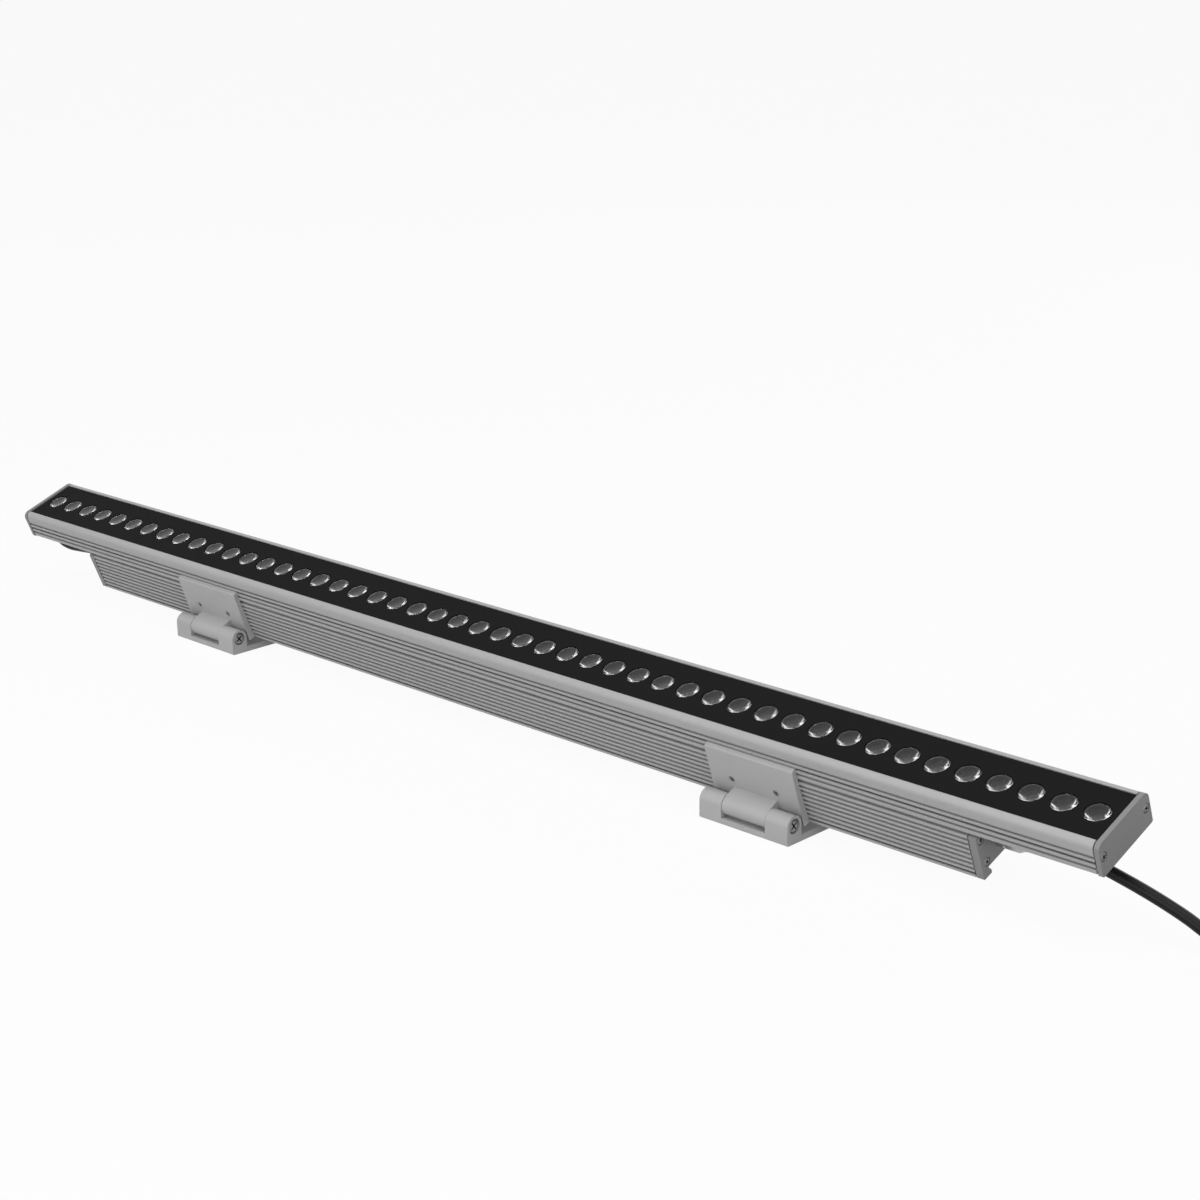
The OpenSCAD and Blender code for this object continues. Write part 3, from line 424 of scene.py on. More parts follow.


# Satin coated metal or plastic: fine even grain, soft cloudiness, a few specks, and painted shade where a
# mesh is marked
def castSurface(group, source, out):
    grain = noiseNode(group, 1900, 3)
    cloud = noiseNode(group, 38, 4)
    specks = mapTo(group, noiseNode(group, 900, 1), 0, 1, 0.7, 0.78)
    tone = calc(group, "SUBTRACT", mapTo(group, cloud, 0.97, 1.03), calc(group, "MULTIPLY", specks, 0.05))
    # Painted shade: the colour darkens to 0.1 where a mesh is marked, in the screws' crosses and the lens
    # middles
    tone = calc(group, "MULTIPLY", tone, paintedShadeFactor(group, 0.1))
    group.links.new(scaled(group, source.outputs["Tone"], tone), out.inputs["Base Color"])
    rough = calc(group, "ADD", source.outputs["Rough"], mapTo(group, cloud, -0.05, 0.05))
    group.links.new(rough, out.inputs["Roughness"])
    group.links.new(calc(group, "MULTIPLY", grain, source.outputs["Amount"]), out.inputs["Bump Height"])


# Rubber or soft plastic: fine grain, and dust in patches
def rubberSurface(group, source, out):
    grain = noiseNode(group, 1400, 3)
    dust = noiseNode(group, 60, 5)
    tone = scaled(group, source.outputs["Tone"], mapTo(group, dust, 0.85, 1.25))
    group.links.new(tone, out.inputs["Base Color"])
    rough = calc(group, "ADD", source.outputs["Rough"], mapTo(group, dust, -0.07, 0.09))
    group.links.new(rough, out.inputs["Roughness"])
    group.links.new(calc(group, "MULTIPLY", grain, source.outputs["Amount"]), out.inputs["Bump Height"])


drawn = effectGroup("drawnSurface", surfaceSockets, drawnSurface)
cast = effectGroup("castSurface", surfaceSockets, castSurface)
soft = effectGroup("rubberSurface", surfaceSockets, rubberSurface)


# A Principled material fed by one shared effect
def material(name, effect, tone, rough, metallic=0.0, bump=0.3, specular=0.5):
    result = bpy.data.materials.new(name)
    result.use_nodes = True
    tree = result.node_tree
    shader = tree.nodes["Principled BSDF"]
    shader.inputs["Metallic"].default_value = metallic
    shader.inputs["Specular IOR Level"].default_value = specular
    group = tree.nodes.new("ShaderNodeGroup")
    group.node_tree = effect
    group.inputs["Tone"].default_value = (*tone, 1)
    group.inputs["Rough"].default_value = rough
    relief = tree.nodes.new("ShaderNodeBump")
    relief.inputs["Strength"].default_value = bump
    relief.inputs["Distance"].default_value = 0.05 * mm
    tree.links.new(group.outputs["Base Color"], shader.inputs["Base Color"])
    tree.links.new(group.outputs["Roughness"], shader.inputs["Roughness"])
    tree.links.new(group.outputs["Bump Height"], relief.inputs["Height"])
    tree.links.new(relief.outputs["Normal"], shader.inputs["Normal"])
    return result


def grey(value):
    return (value, value, value)


extruded = material("extrudedAluminium", drawn, grey(0.36), 0.5, metallic=0.1, bump=0.1, specular=0.3)
capMetal = material("capAluminium", cast, grey(0.22), 0.5, metallic=0.05, bump=0.06, specular=0.3)
bracketMetal = material("bracketAluminium", cast, grey(0.37), 0.55, metallic=0.05, bump=0.06, specular=0.3)
panelBlack = material("panelBlack", cast, grey(0.012), 0.5, bump=0.06, specular=0.01)
screwSteel = material("screwSteel", cast, grey(0.22), 0.35, metallic=0.7, bump=0.08)
glandNickel = material("glandNickel", cast, grey(0.42), 0.3, metallic=0.8, bump=0.05)
gasketRubber = material("gasketRubber", soft, grey(0.07), 0.7, bump=0.3)
cableRubber = material("cableRubber", soft, grey(0.008), 0.36, bump=0.05, specular=0.12)
connectorBlack = material("connectorBlack", cast, grey(0.014), 0.45, bump=0.25)
whitePlastic = material("whitePlastic", cast, grey(0.7), 0.5, bump=0.1)
boardWhite = material("boardWhite", cast, grey(0.72), 0.4, bump=0.1)
ledPhosphor = material("ledPhosphor", cast, (0.62, 0.56, 0.36), 0.35, bump=0.1)
caseAluminium = material("caseAluminium", drawn, grey(0.55), 0.4, metallic=0.6, bump=0.2)
leadInsulation = material("leadInsulation", soft, (0.2, 0.12, 0.07), 0.45, bump=0.1)
pinBrass = material("pinBrass", cast, (0.6, 0.45, 0.2), 0.25, metallic=1.0, bump=0.05)
holderBlack = material("holderBlack", cast, grey(0.02), 0.4, bump=0.1, specular=0.2)

# Clear lens: it lets the lamps' light through to the board without a shadow of its own
lensClear = material("lensClear", cast, grey(0.42), 0.08, bump=0.0)
lensTree = lensClear.node_tree
lensGlass = lensTree.nodes["Principled BSDF"]
lensGlass.inputs["Transmission Weight"].default_value = 1
lensGlass.inputs["IOR"].default_value = 1.46
lensPass = lensTree.nodes.new("ShaderNodeBsdfTransparent")
lensPath = lensTree.nodes.new("ShaderNodeLightPath")
lensMix = lensTree.nodes.new("ShaderNodeMixShader")
lensTree.links.new(lensPath.outputs["Is Shadow Ray"], lensMix.inputs["Fac"])
lensTree.links.new(lensGlass.outputs["BSDF"], lensMix.inputs[1])
lensTree.links.new(lensPass.outputs["BSDF"], lensMix.inputs[2])
lensTree.links.new(lensMix.outputs["Shader"], lensTree.nodes["Material Output"].inputs["Surface"])
print("materials made")

# Camera: fitted to the photograph, a square picture
cameraPlace = (1.07573, -1.00177, 0.52912)
cameraTurn = (72.939, 0.579, 43.943)
camera = placed("camera", bpy.data.cameras.new("camera"))
camera.location = cameraPlace
camera.rotation_euler = [math.radians(a) for a in cameraTurn]
camera.data.sensor_width = 36
camera.data.lens = 68.8
camera.data.clip_start = 0.05
bpy.context.scene.camera = camera

# Supply cable: from the gland down to the floor, three and a half turns of coil, then the connector
cable = {"radius": 3.5 * mm, "exit": (441.45 * mm, -6.498 * mm, 35.06 * mm), "reach": 124 * mm,
         "fall": 31.56 * mm, "laneOut": 41 * mm, "laneIn": 34 * mm, "low": 4.1 * mm, "layer": 7.1 * mm,
         "tail": 8 * mm, "connectorZ": 9 * mm, "bendFrom": 6 * mm, "bendTo": 100 * mm}
cableShares = [(0, 1), (0.07, 0.99), (0.14, 0.972), (0.21, 0.943), (0.28, 0.9), (0.35, 0.847), (0.42, 0.79),
               (0.49, 0.729), (0.56, 0.662), (0.63, 0.588), (0.7, 0.505), (0.76, 0.425), (0.82, 0.328),
               (0.88, 0.233), (0.94, 0.15), (1, 0.088)]
coilOut = 44.5 * mm
coilX = (cable["exit"][0] + cable["reach"] + 0.9 * mm
         + math.sqrt(coilOut ** 2 - (cable["laneOut"] - cable["radius"]) ** 2))
coilY = cable["exit"][1] + cable["laneOut"]
connectorX = cable["exit"][0] + cable["reach"] - cable["tail"]
connectorY = coilY + cable["laneOut"]


# 0 before start, 1 after end, and smooth between
def blendStep(t, start, end):
    u = min(max((t - start) / (end - start), 0), 1)
    return u * u * (3 - 2 * u)


# A point of the coil, t degrees after the cable meets its outer lower turn
def coilPoint(t):
    shiftIn = blendStep(t, 300, 360)
    rise = blendStep(t, 615, 655)
    shiftOut = blendStep(t, 920, 970)
    radius = cable["laneOut"] + (cable["laneIn"] - cable["laneOut"]) * (shiftIn - shiftOut)
    angle = math.radians(t - 90)
    return (coilX + radius * math.cos(angle), coilY + radius * math.sin(angle),
            cable["low"] + cable["layer"] * rise)


fallPoints = [(cable["exit"][0] + a * cable["reach"], cable["exit"][1], cable["radius"] + b * cable["fall"])
              for a, b in cableShares]
landing = [(cable["exit"][0] + cable["reach"] + 8 * mm, cable["exit"][1], 4.9 * mm),
           (cable["exit"][0] + cable["reach"] + 16 * mm, cable["exit"][1], 4.3 * mm)]
coilPoints = [coilPoint(t) for t in range(0, 1261, 15)]
leaving = [(coilX - 9 * mm, connectorY, 11.1 * mm), (coilX - 18 * mm, connectorY, 10.4 * mm),
           (connectorX + cable["tail"], connectorY, 9.3 * mm), (connectorX + 1 * mm, connectorY, 9 * mm)]
cablePath = smoothPath(fallPoints + landing + coilPoints + leaving, 3)
cableMesh = tube(cablePath, cable["radius"])
cablePiece = placed("supplyCable", cableMesh)
cablePiece.data.materials.append(cableRubber)
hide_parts("power_cable", "power_cable_coil")
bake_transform(cablePiece)

# Connector at the cable's end: back, ribbed body, collar and open sleeve, pointing along -X
plug = {"back": 8 * mm, "body": 22 * mm, "collar": 4 * mm, "sleeve": 10 * mm,
        "bore": 3.55 * mm, "wide": 8 * mm, "collarWide": 9 * mm, "open": 5.6 * mm,
        "grips": 14, "gripRadius": 0.85 * mm, "gripAt": 8.5 * mm, "gripLength": 12 * mm}
bodyEnd = plug["back"] + plug["body"]
faceAt = bodyEnd + plug["collar"]
tipAt = faceAt + plug["sleeve"]
plugProfile = [(0, plug["bore"]), (0, 4.3 * mm), (0.6 * mm, 4.9 * mm)]
for k in range(4):
    ribAt = k * 1.7 * mm
    plugProfile += [(1.2 * mm + ribAt, 5.2 * mm + k * 0.75 * mm),
                    (1.7 * mm + ribAt, 4.6 * mm + k * 0.8 * mm)]
plugProfile += [(plug["back"], 7.6 * mm), (plug["back"] + 0.5 * mm, plug["wide"]),
                (bodyEnd - 6 * mm, plug["wide"]), (bodyEnd - 5.6 * mm, 7.5 * mm),
                (bodyEnd - 4.4 * mm, 7.5 * mm), (bodyEnd - 4 * mm, plug["wide"]),
                (bodyEnd, plug["wide"]), (bodyEnd + 0.3 * mm, 8.7 * mm),
                (bodyEnd + 0.8 * mm, plug["collarWide"]), (faceAt - 0.8 * mm, plug["collarWide"]),
                (faceAt - 0.3 * mm, 8.7 * mm), (faceAt, 8.2 * mm), (faceAt, 7 * mm),
                (tipAt - 0.4 * mm, 7 * mm), (tipAt, 6.6 * mm), (tipAt, 5.8 * mm),
                (tipAt - 0.2 * mm, plug["open"]), (faceAt, plug["open"]), (faceAt, plug["bore"])]
plugMesh = lathe(plugProfile, 56, closed=True)
gripTools = []
for k in range(plug["grips"]):
    a = 2 * math.pi * k / plug["grips"]
    gripStart = (plug["back"] + 2 * mm, plug["gripAt"] * math.cos(a), plug["gripAt"] * math.sin(a))
    gripTools.append(rodAlong("X", gripStart, plug["gripRadius"], plug["gripLength"], 10))
plugMesh = cut(plugMesh, *gripTools)
plugPlace = (Matrix.Translation((connectorX, connectorY, cable["connectorZ"]))
             @ Matrix.Rotation(math.pi, 4, "Z"))
plugPiece = newPiece("plugBody", smoothByAngle(moved(plugMesh, plugPlace), 30), connectorBlack, "left_foot",
                     "connector_black", "cable_connector")

# Tie: a flat strap round the coil
tie = {"halfWidth": 8.2 * mm, "wall": 0.6 * mm, "half": 4 * mm, "high": 15.4 * mm, "corner": 3.2 * mm,
       "at": 37.5 * mm}


# The strap's outline, drawn in from its outer face
def tieOutline(inset):
    wide = tie["halfWidth"] - inset
    high = tie["high"] - inset
    return rounded([(-wide, inset), (wide, inset), (wide, high), (-wide, high)], tie["corner"] - inset, 6)


tiePlace = Matrix.Translation((coilX + tie["at"], coilY, 0)) @ Matrix.Rotation(math.pi / 2, 4, "Z")
tieMesh = moved(prismMesh(tieOutline(0), -tie["half"], tie["half"], [tieOutline(tie["wall"])]), tiePlace)
strapPiece = newPiece("coilStrap", smoothByAngle(tieMesh, 40), connectorBlack, "left_foot",
                      "connector_black", "coil_tie")

# Grooves in the sides of the two extrusions
groove = {"half": 0.85 * mm, "deep": 1.4 * mm, "shoulder": 0.3 * mm, "root": 0.35 * mm,
          "hookDeep": 2.1 * mm, "hookLip": 1 * mm, "hookDrop": 0.8 * mm}


# Points and radii down one side (+Y), from top to bottom, with rounded grooves; one of them is for the hooks
def sideWithGrooves(first, pitch, count, hookAt):
    points = []
    radii = []
    for i in range(count):
        z = first - i * pitch
        deep = groove["hookDeep"] if i == hookAt else groove["deep"]
        points += [(halfWidth, z + groove["half"]), (halfWidth - deep, z + groove["half"])]
        if i == hookAt:
            low = z - groove["half"] - groove["hookDrop"]
            points += [(halfWidth - deep, low), (halfWidth - groove["hookLip"], low),
                       (halfWidth - groove["hookLip"], z - groove["half"]), (halfWidth, z - groove["half"])]
            radii += [groove["shoulder"], groove["root"], 0, 0, 0, groove["shoulder"]]
        else:
            points += [(halfWidth - deep, z - groove["half"]), (halfWidth, z - groove["half"])]
            radii += [groove["shoulder"], groove["root"], groove["root"], groove["shoulder"]]
    return points, radii


# Marks how deep each point lies in a side groove, from 0 at the ribs to 1 at a root, as painted shade that
# darkens the groove's colour
def markGrooveShade(mesh, low, high):
    depth = mesh.attributes.new("paintedShade", "FLOAT", "POINT")
    for i, vertex in enumerate(mesh.vertices):
        inside = (halfWidth - abs(vertex.co.y)) / groove["deep"]
        near = low + 0.3 * mm < vertex.co.z < high and inside < 1.6
        depth.data[i].value = min(max(inside, 0), 1) if near else 0


# The outline closed by its mirror image across the middle
def mirrored(points, radii):
    back = [(-y, z) for y, z in reversed(points)]
    return points + back, radii + list(reversed(radii))


# Lamp head: channel for the boards, rounded shoulders, ribbed sides, channels in the underside
head = {"channel": 17.9 * mm, "floor": -13 * mm, "ledge": -2.5 * mm, "mouth": 20.1 * mm, "under": -16 * mm,
        "slotOut": 19 * mm, "slotIn": 5 * mm}
headGrooves, headRadii = sideWithGrooves(-8.5 * mm, 3.78 * mm, 3, 1)
headHalfOutline = [(head["channel"], head["floor"]), (head["channel"], head["ledge"]),
                   (head["mouth"], head["ledge"]), (head["mouth"], rimTop),
                   (halfWidth, rimTop), *headGrooves,
                   (halfWidth, headLow), (head["slotOut"], headLow), (head["slotOut"], head["under"]),
                   (head["slotIn"], head["under"]), (head["slotIn"], headLow)]
headHalfRadii = ([0, 0, 0, 0.3 * mm, 4.3 * mm] + headRadii
                 + [0.4 * mm, 0.2 * mm, 0.2 * mm, 0.2 * mm, 0.2 * mm])
headOutline = rounded(*mirrored(headHalfOutline, headHalfRadii), steps=6)
headMesh = smoothByAngle(prismMesh(headOutline, -headHalf, headHalf), 50)
# Painted shade darkens the head's side grooves
markGrooveShade(headMesh, headLow, -7 * mm)
headMesh.transform(lampFrame)
newPiece("headShell", headMesh, extruded, "lamp", "anodised_silver", "head_housing")
print("head made")

# Front panel: one plate with a row of holes, each with a fine chamfer
lens = {"pitch": 20.62 * mm, "count": 48, "holeRadius": 7.6 * mm}
panel = {"halfWidth": 20 * mm, "low": -2 * mm, "chamfer": 0.25 * mm}
lensPlaces = [(i - (lens["count"] - 1) / 2) * lens["pitch"] for i in range(lens["count"])]
panelHoles = [circle(x, 0, lens["holeRadius"], 40) for x in lensPlaces]
panelOutline = [(x * headHalf, y * panel["halfWidth"]) for x, y in ((-1, -1), (1, -1), (1, 1), (-1, 1))]
panelMesh = plateMesh(panelOutline, panel["low"], 0, panelHoles)
panelMesh.transform(lampFrame)
panelPiece = newPiece("frontPanel", panelMesh, panelBlack, "lamp", "panel_black", "front_panel")
soften(panelPiece, panel["chamfer"], 2)

# Lenses: a dish on top, and a cone that stands over the LED
lensProfile = [(0, -0.8), (1.8, -0.77), (3.2, -0.68), (4.4, -0.54), (5.2, -0.42), (5.8, -0.34), (6.4, -0.3),
               (7.1, -0.35), (7.35, -0.6), (7.42, -1.0), (7.42, -2.0), (6.7, -2.0), (6.2, -3.4), (5.5, -5.2),
               (4.7, -7.0), (3.2, -9.4), (2.0, -9.4), (2.0, -7.4), (1.2, -6.9), (0, -6.7)]
oneLens = turnedUp([(max(r, 0.01) * mm, z * mm) for r, z in reversed(lensProfile)], 64)
# Painted shade: the lens middles are darkened in colour, fading out between 5.2 and 6.3 mm from the axis
paintedMiddleShade = oneLens.attributes.new("paintedShade", "FLOAT", "POINT")
for i, vertex in enumerate(oneLens.vertices):
    fromMiddle = math.hypot(vertex.co.x, vertex.co.y)
    paintedMiddleShade.data[i].value = 1 - blendStep(fromMiddle, 5.2 * mm, 6.3 * mm)
lensMesh = joined(*[moved(oneLens, Matrix.Translation((x, 0, 0))) for x in lensPlaces])
smoothByAngle(lensMesh, 50)
lensMesh.transform(lampFrame)
newPiece("lensRow", lensMesh, lensClear, "lamp", "lens_clear", "lenses")
print("panel and lenses made")

# Driver housing: the ribbed box with its two feet and the seat under the head
railFoot = [(halfWidth, railLow), (17.4 * mm, railLow), (17.4 * mm, -49.6 * mm), (19.8 * mm, boxLow)]
seatHalf = 22.8 * mm
boxGrooves, boxRadii = sideWithGrooves(-25 * mm, 3.485 * mm, 8, 7)
boxHalfOutline = [(seatHalf, headLow), (seatHalf, boxTop), (halfWidth, boxTop), *boxGrooves, *railFoot]
boxHalfRadii = [0, 0.3 * mm, 0.5 * mm] + boxRadii + [0.3 * mm, 0.3 * mm, 0.3 * mm, 0.5 * mm]
boxOutline = rounded(*mirrored(boxHalfOutline, boxHalfRadii), steps=5)
bay = [(21 * mm, -24.4 * mm), (21 * mm, -44 * mm), (-21 * mm, -44 * mm), (-21 * mm, -24.4 * mm)]
driverMesh = smoothByAngle(prismMesh(boxOutline, boxLeft, boxRight, [bay]), 50)
# Painted shade darkens the driver housing's side grooves
markGrooveShade(driverMesh, railLow, headLow)
driverMesh.transform(lampFrame)
newPiece("driverShell", driverMesh, extruded, "lamp", "anodised_silver", "driver_housing")
print("driver housing made")

# Cap screws: a pan head with a cross, its face at x = 0
runGap = 0.05 * mm
capScrew = {"head": 2.5 * mm, "height": 1.5 * mm, "shank": 1.45 * mm, "play": 0.35 * mm,
            "cross": (1.6 * mm, 0.8 * mm, 0.95 * mm)}


def capScrewMesh(grip, turn):
    body = lathe([(-capScrew["height"] - grip, capScrew["shank"]), (-capScrew["height"], capScrew["shank"]),
                  (-capScrew["height"], capScrew["head"]), (-0.45 * mm, capScrew["head"]),
                  (-0.15 * mm, capScrew["head"] * 0.9), (0, capScrew["head"] * 0.7)], 32)
    # Painted shade darkens each cap screw's cross recess
    screw = markCrossShade(cut(body, crossCutter(*capScrew["cross"], turn)), *capScrew["cross"])
    return smoothByAngle(screw, 40)


# A hole for a cap screw with a sunk seat, as cutters at one place of a cap
def capScrewHole(face, y, z, thick):
    over = 1 * mm
    return [rodAlong("X", (face - thick - over, y, z), capScrew["shank"] + runGap, thick + 2 * over, 24),
            rodAlong("X", (face - capScrew["height"], y, z), capScrew["head"] + capScrew["play"], 3 * mm)]


# Head caps
headCap = {"side": 25 * mm, "low": -20.6 * mm, "topRadius": 4.4 * mm, "lowRadius": 1.2 * mm,
           "screwY": 21.2 * mm, "screwZ": -8.9 * mm, "edge": 0.3 * mm}
headCapCorners = [(-headCap["side"], rimTop), (-headCap["side"], headCap["low"]),
                  (headCap["side"], headCap["low"]), (headCap["side"], rimTop)]
headCapRadii = [headCap["topRadius"], headCap["lowRadius"], headCap["lowRadius"], headCap["topRadius"]]
headCapOutline = rounded(headCapCorners, headCapRadii, steps=8)
headCapScrews = [(side * headCap["screwY"], headCap["screwZ"]) for side in (-1, 1)]
headCapMesh = cut(prismMesh(headCapOutline, headCapX, headCapEnd),
                  *[tool for y, z in headCapScrews
                    for tool in capScrewHole(headCapEnd, y, z, headCapEnd - headCapX)])
asRight = Matrix.Identity(4)
for side, turn in (("right", asRight), ("left", toLeft)):
    piece = newPiece(side + "HeadCap", moved(headCapMesh, lampFrame @ turn), capMetal, "lamp", "cap_satin",
                     side + "_head_cap")
    soften(piece, headCap["edge"], 2)
headScrewMeshes = []
for k, (y, z) in enumerate(headCapScrews):
    for turn in (asRight, toLeft):
        one = capScrewMesh(11.5 * mm, 20 + 35 * k)
        headScrewMeshes.append(moved(one, lampFrame @ turn @ Matrix.Translation((headCapEnd, y, z))))
newPiece("headCapScrews", joined(*headScrewMeshes), screwSteel, "lamp", "screw_steel", "head_cap_screws")

# Driver caps: the housing's own outline, with four screws and an opening for a gland
driverCap = {"topRadius": 1.4 * mm, "edge": 0.3 * mm, "thick": 5 * mm,
             "screws": [(20.8 * mm, -26.2 * mm), (19.4 * mm, -42.8 * mm)]}
capHalf = [(halfWidth, boxTop), *railFoot]
capHalfRadii = [driverCap["topRadius"], 0.4 * mm, 0.4 * mm, 0.3 * mm, 0.6 * mm]
driverCapOutline = rounded(*mirrored(capHalf, capHalfRadii), steps=5)
driverCapScrews = [(side * y, z) for side in (-1, 1) for y, z in driverCap["screws"]]
supplyGland = {"z": -34.4 * mm, "stub": 8 * mm, "flats": 18 * mm, "flange": 5 * mm, "neck": 7 * mm,
               "neckLength": 9 * mm, "nut": 11 * mm, "dome": 6 * mm, "bore": 3.55 * mm,
               "reach": 5 * mm}
linkGland = {"y": -10 * mm, "z": -33 * mm, "stub": 6 * mm, "flats": 14 * mm, "flange": 4 * mm,
             "nut": 11 * mm, "bore": 2.55 * mm, "reach": 5 * mm}
driverCapTools = [tool for y, z in driverCapScrews
                  for tool in capScrewHole(boxEndX, y, z, driverCap["thick"])]
driverCapMesh = cut(prismMesh(driverCapOutline, boxCapX, boxEndX), *driverCapTools)
supplyBore = rodAlong("X", (boxCapX - 1 * mm, 0, supplyGland["z"]), supplyGland["stub"] + runGap, 7 * mm)
linkBore = rodAlong("X", (boxLeftEnd - 1 * mm, linkGland["y"], linkGland["z"]), linkGland["stub"] + runGap,
                    7 * mm)
for side, mesh in (("right", cut(driverCapMesh, supplyBore)),
                   ("left", cut(moved(driverCapMesh, toBoxLeft), linkBore))):
    piece = newPiece(side + "DriverCap", moved(mesh, lampFrame), capMetal, "lamp", "cap_satin",
                     side + "_driver_cap")
    soften(piece, driverCap["edge"], 2)
driverScrewMeshes = []
for k, (y, z) in enumerate(driverCapScrews):
    for turn in (asRight, toBoxLeft):
        one = capScrewMesh(12 * mm, 10 + 27 * k)
        driverScrewMeshes.append(moved(one, lampFrame @ turn @ Matrix.Translation((boxEndX, y, z))))
newPiece("driverCapScrews", joined(*driverScrewMeshes), screwSteel, "lamp", "screw_steel",
         "driver_cap_screws")
print("caps and their screws made")


# A part of a gland, put in its place on the lamp
def newGlandPart(name, mesh, place, node):
    newPiece(name, smoothByAngle(moved(mesh, place), 30), glandNickel, "lamp", "gland_nickel", node)


# Supply gland at the right end: stub, hexagonal flange and neck, then the nut with its dome
neckEndX = supplyGland["flange"] + supplyGland["neckLength"]
glandProfile = [(-supplyGland["reach"], supplyGland["bore"]), (-supplyGland["reach"], supplyGland["stub"]),
                (0.3 * mm, supplyGland["stub"]), (0.3 * mm, supplyGland["neck"]),
                (neckEndX, supplyGland["neck"]), (neckEndX, supplyGland["bore"])]
glandBody = joined(lathe(glandProfile, 40, closed=True),
                   cut(hexMesh(0, supplyGland["flange"], supplyGland["flats"], 0.4 * mm, 0.8 * mm),
                       rodAlong("X", (-1 * mm, 0, 0), supplyGland["neck"] - 0.3 * mm, 8 * mm)))
nutStart = supplyGland["flange"]
nutEnd = nutStart + supplyGland["nut"]
domeEnd = nutEnd + supplyGland["dome"]
nutInner = supplyGland["neck"] + 0.1 * mm
nutBody = cut(hexMesh(nutStart + 0.25 * mm, nutEnd, supplyGland["flats"], 0.6 * mm, 1.2 * mm),
              rodAlong("X", (nutStart - 1 * mm, 0, 0), nutInner, supplyGland["nut"] + 4 * mm))
domeProfile = [(nutEnd - 1.5 * mm, nutInner), (nutEnd - 1.5 * mm, 8.8 * mm), (nutEnd, 8.8 * mm),
               (nutEnd + 1.6 * mm, 8.5 * mm), (nutEnd + 3.2 * mm, 7.7 * mm), (nutEnd + 4.6 * mm, 6.5 * mm),
               (domeEnd - 0.4 * mm, 5.1 * mm), (domeEnd, 4.6 * mm), (domeEnd, supplyGland["bore"]),
               (nutEnd - 0.5 * mm, supplyGland["bore"])]
nutMesh = joined(nutBody, lathe(domeProfile, 48, closed=True))
glandPlace = lampFrame @ Matrix.Translation((boxEndX, 0, supplyGland["z"]))
newGlandPart("supplyGlandBody", glandBody, glandPlace, "supply_gland")
newGlandPart("supplyGlandNut", nutMesh, glandPlace, "supply_gland_nut")

# Link gland at the left end and the lead that loops up into the head
linkProfile = [(-linkGland["reach"], linkGland["bore"]), (-linkGland["reach"], linkGland["stub"]),
               (0.3 * mm, linkGland["stub"]), (0.3 * mm, linkGland["bore"])]
linkBody = joined(lathe(linkProfile, 32, closed=True),
                  cut(hexMesh(0, linkGland["flange"], linkGland["flats"], 0.3 * mm, 0.6 * mm),
                      rodAlong("X", (-1 * mm, 0, 0), linkGland["bore"], 8 * mm)))
linkNutEnd = linkGland["flange"] + linkGland["nut"]
linkMid = linkGland["flange"] + linkGland["nut"] / 2
linkDome = [(linkMid - 1 * mm, linkGland["bore"]), (linkMid - 1 * mm, 6.8 * mm), (linkMid, 6.8 * mm),
            (linkMid + 2 * mm, 6.3 * mm), (linkMid + 4 * mm, 5.1 * mm), (linkNutEnd - 0.3 * mm, 3.9 * mm),
            (linkNutEnd, 3.5 * mm), (linkNutEnd, linkGland["bore"])]
linkHex = hexMesh(linkGland["flange"] + 0.2 * mm, linkMid, linkGland["flats"], 0.4 * mm, 0.9 * mm)
linkNut = joined(cut(linkHex, rodAlong("X", (0, 0, 0), linkGland["bore"], 16 * mm)),
                 lathe(linkDome, 40, closed=True))
linkPlace = lampFrame @ Matrix.Translation((boxLeftEnd, linkGland["y"], linkGland["z"])) @ toLeft
newGlandPart("linkGlandBody", linkBody, linkPlace, "link_gland")
newGlandPart("linkGlandNut", linkNut, linkPlace, "link_gland_nut")
linkLead = {"radius": 2.5 * mm, "start": -150 * mm, "out": -437.25 * mm, "in": -490 * mm, "top": -11.4 * mm,
            "shares": [(0, 0), (0.12, 0), (0.24, -0.012), (0.4, -0.07), (0.53, -0.11), (0.65, -0.15),
                       (0.755, -0.16), (0.85, -0.13), (0.925, -0.06), (0.985, 0.09), (1, 0.29),
                       (1, 0.6), (1, 1)]}
linkReach = linkLead["in"] - linkLead["out"]
linkClimb = head["under"] - linkGland["z"]
linkArc = [(linkLead["out"] + a * linkReach, linkGland["y"], linkGland["z"] + b * linkClimb)
           for a, b in linkLead["shares"]]
linkArc.append((linkLead["in"], linkGland["y"], linkLead["top"]))
linkPath = [(linkLead["start"], linkGland["y"], linkGland["z"])] + smoothPath(linkArc, 4)
newPiece("linkLead", moved(tube(linkPath, linkLead["radius"], 16), lampFrame), cableRubber, "lamp",
         "cable_black", "link_lead")
print("glands and link lead made")

# Clip plates with hooks, neck and knuckle
arm = {"half": 33.75 * mm, "top": -11.7 * mm, "topThick": 3.2 * mm, "slope": 1.6 * mm, "lowThick": 5 * mm,
       "neckHalf": 16.7 * mm, "neckTop": -38.3 * mm, "neckThick": 7.2 * mm, "neckIn": -26.4 * mm,
       "knuckle": 6.3 * mm, "bore": 2.55 * mm, "edge": 0.35 * mm,
       "screwX": 17 * mm, "screwRadius": 2 * mm, "screwZ": -32.841 * mm, "screwSunk": 0.3 * mm}
armTaper = (arm["lowThick"] - arm["topThick"]) / (arm["top"] - arm["slope"] - railLow)


def plateFace(z):
    return -halfWidth - arm["topThick"] - armTaper * (arm["top"] - arm["slope"] - z)


# A hook's points on the plate's inner side, from below upwards
def hookPoints(z):
    low = z - groove["half"] + 0.1 * mm
    return [(-halfWidth, low), (-halfWidth + 1.1 * mm, low), (-halfWidth + 1.1 * mm, low - 0.7 * mm),
            (-halfWidth + 2 * mm, low - 0.7 * mm), (-halfWidth + 2 * mm, low + 0.9 * mm),
            (-halfWidth, low + 0.9 * mm)]


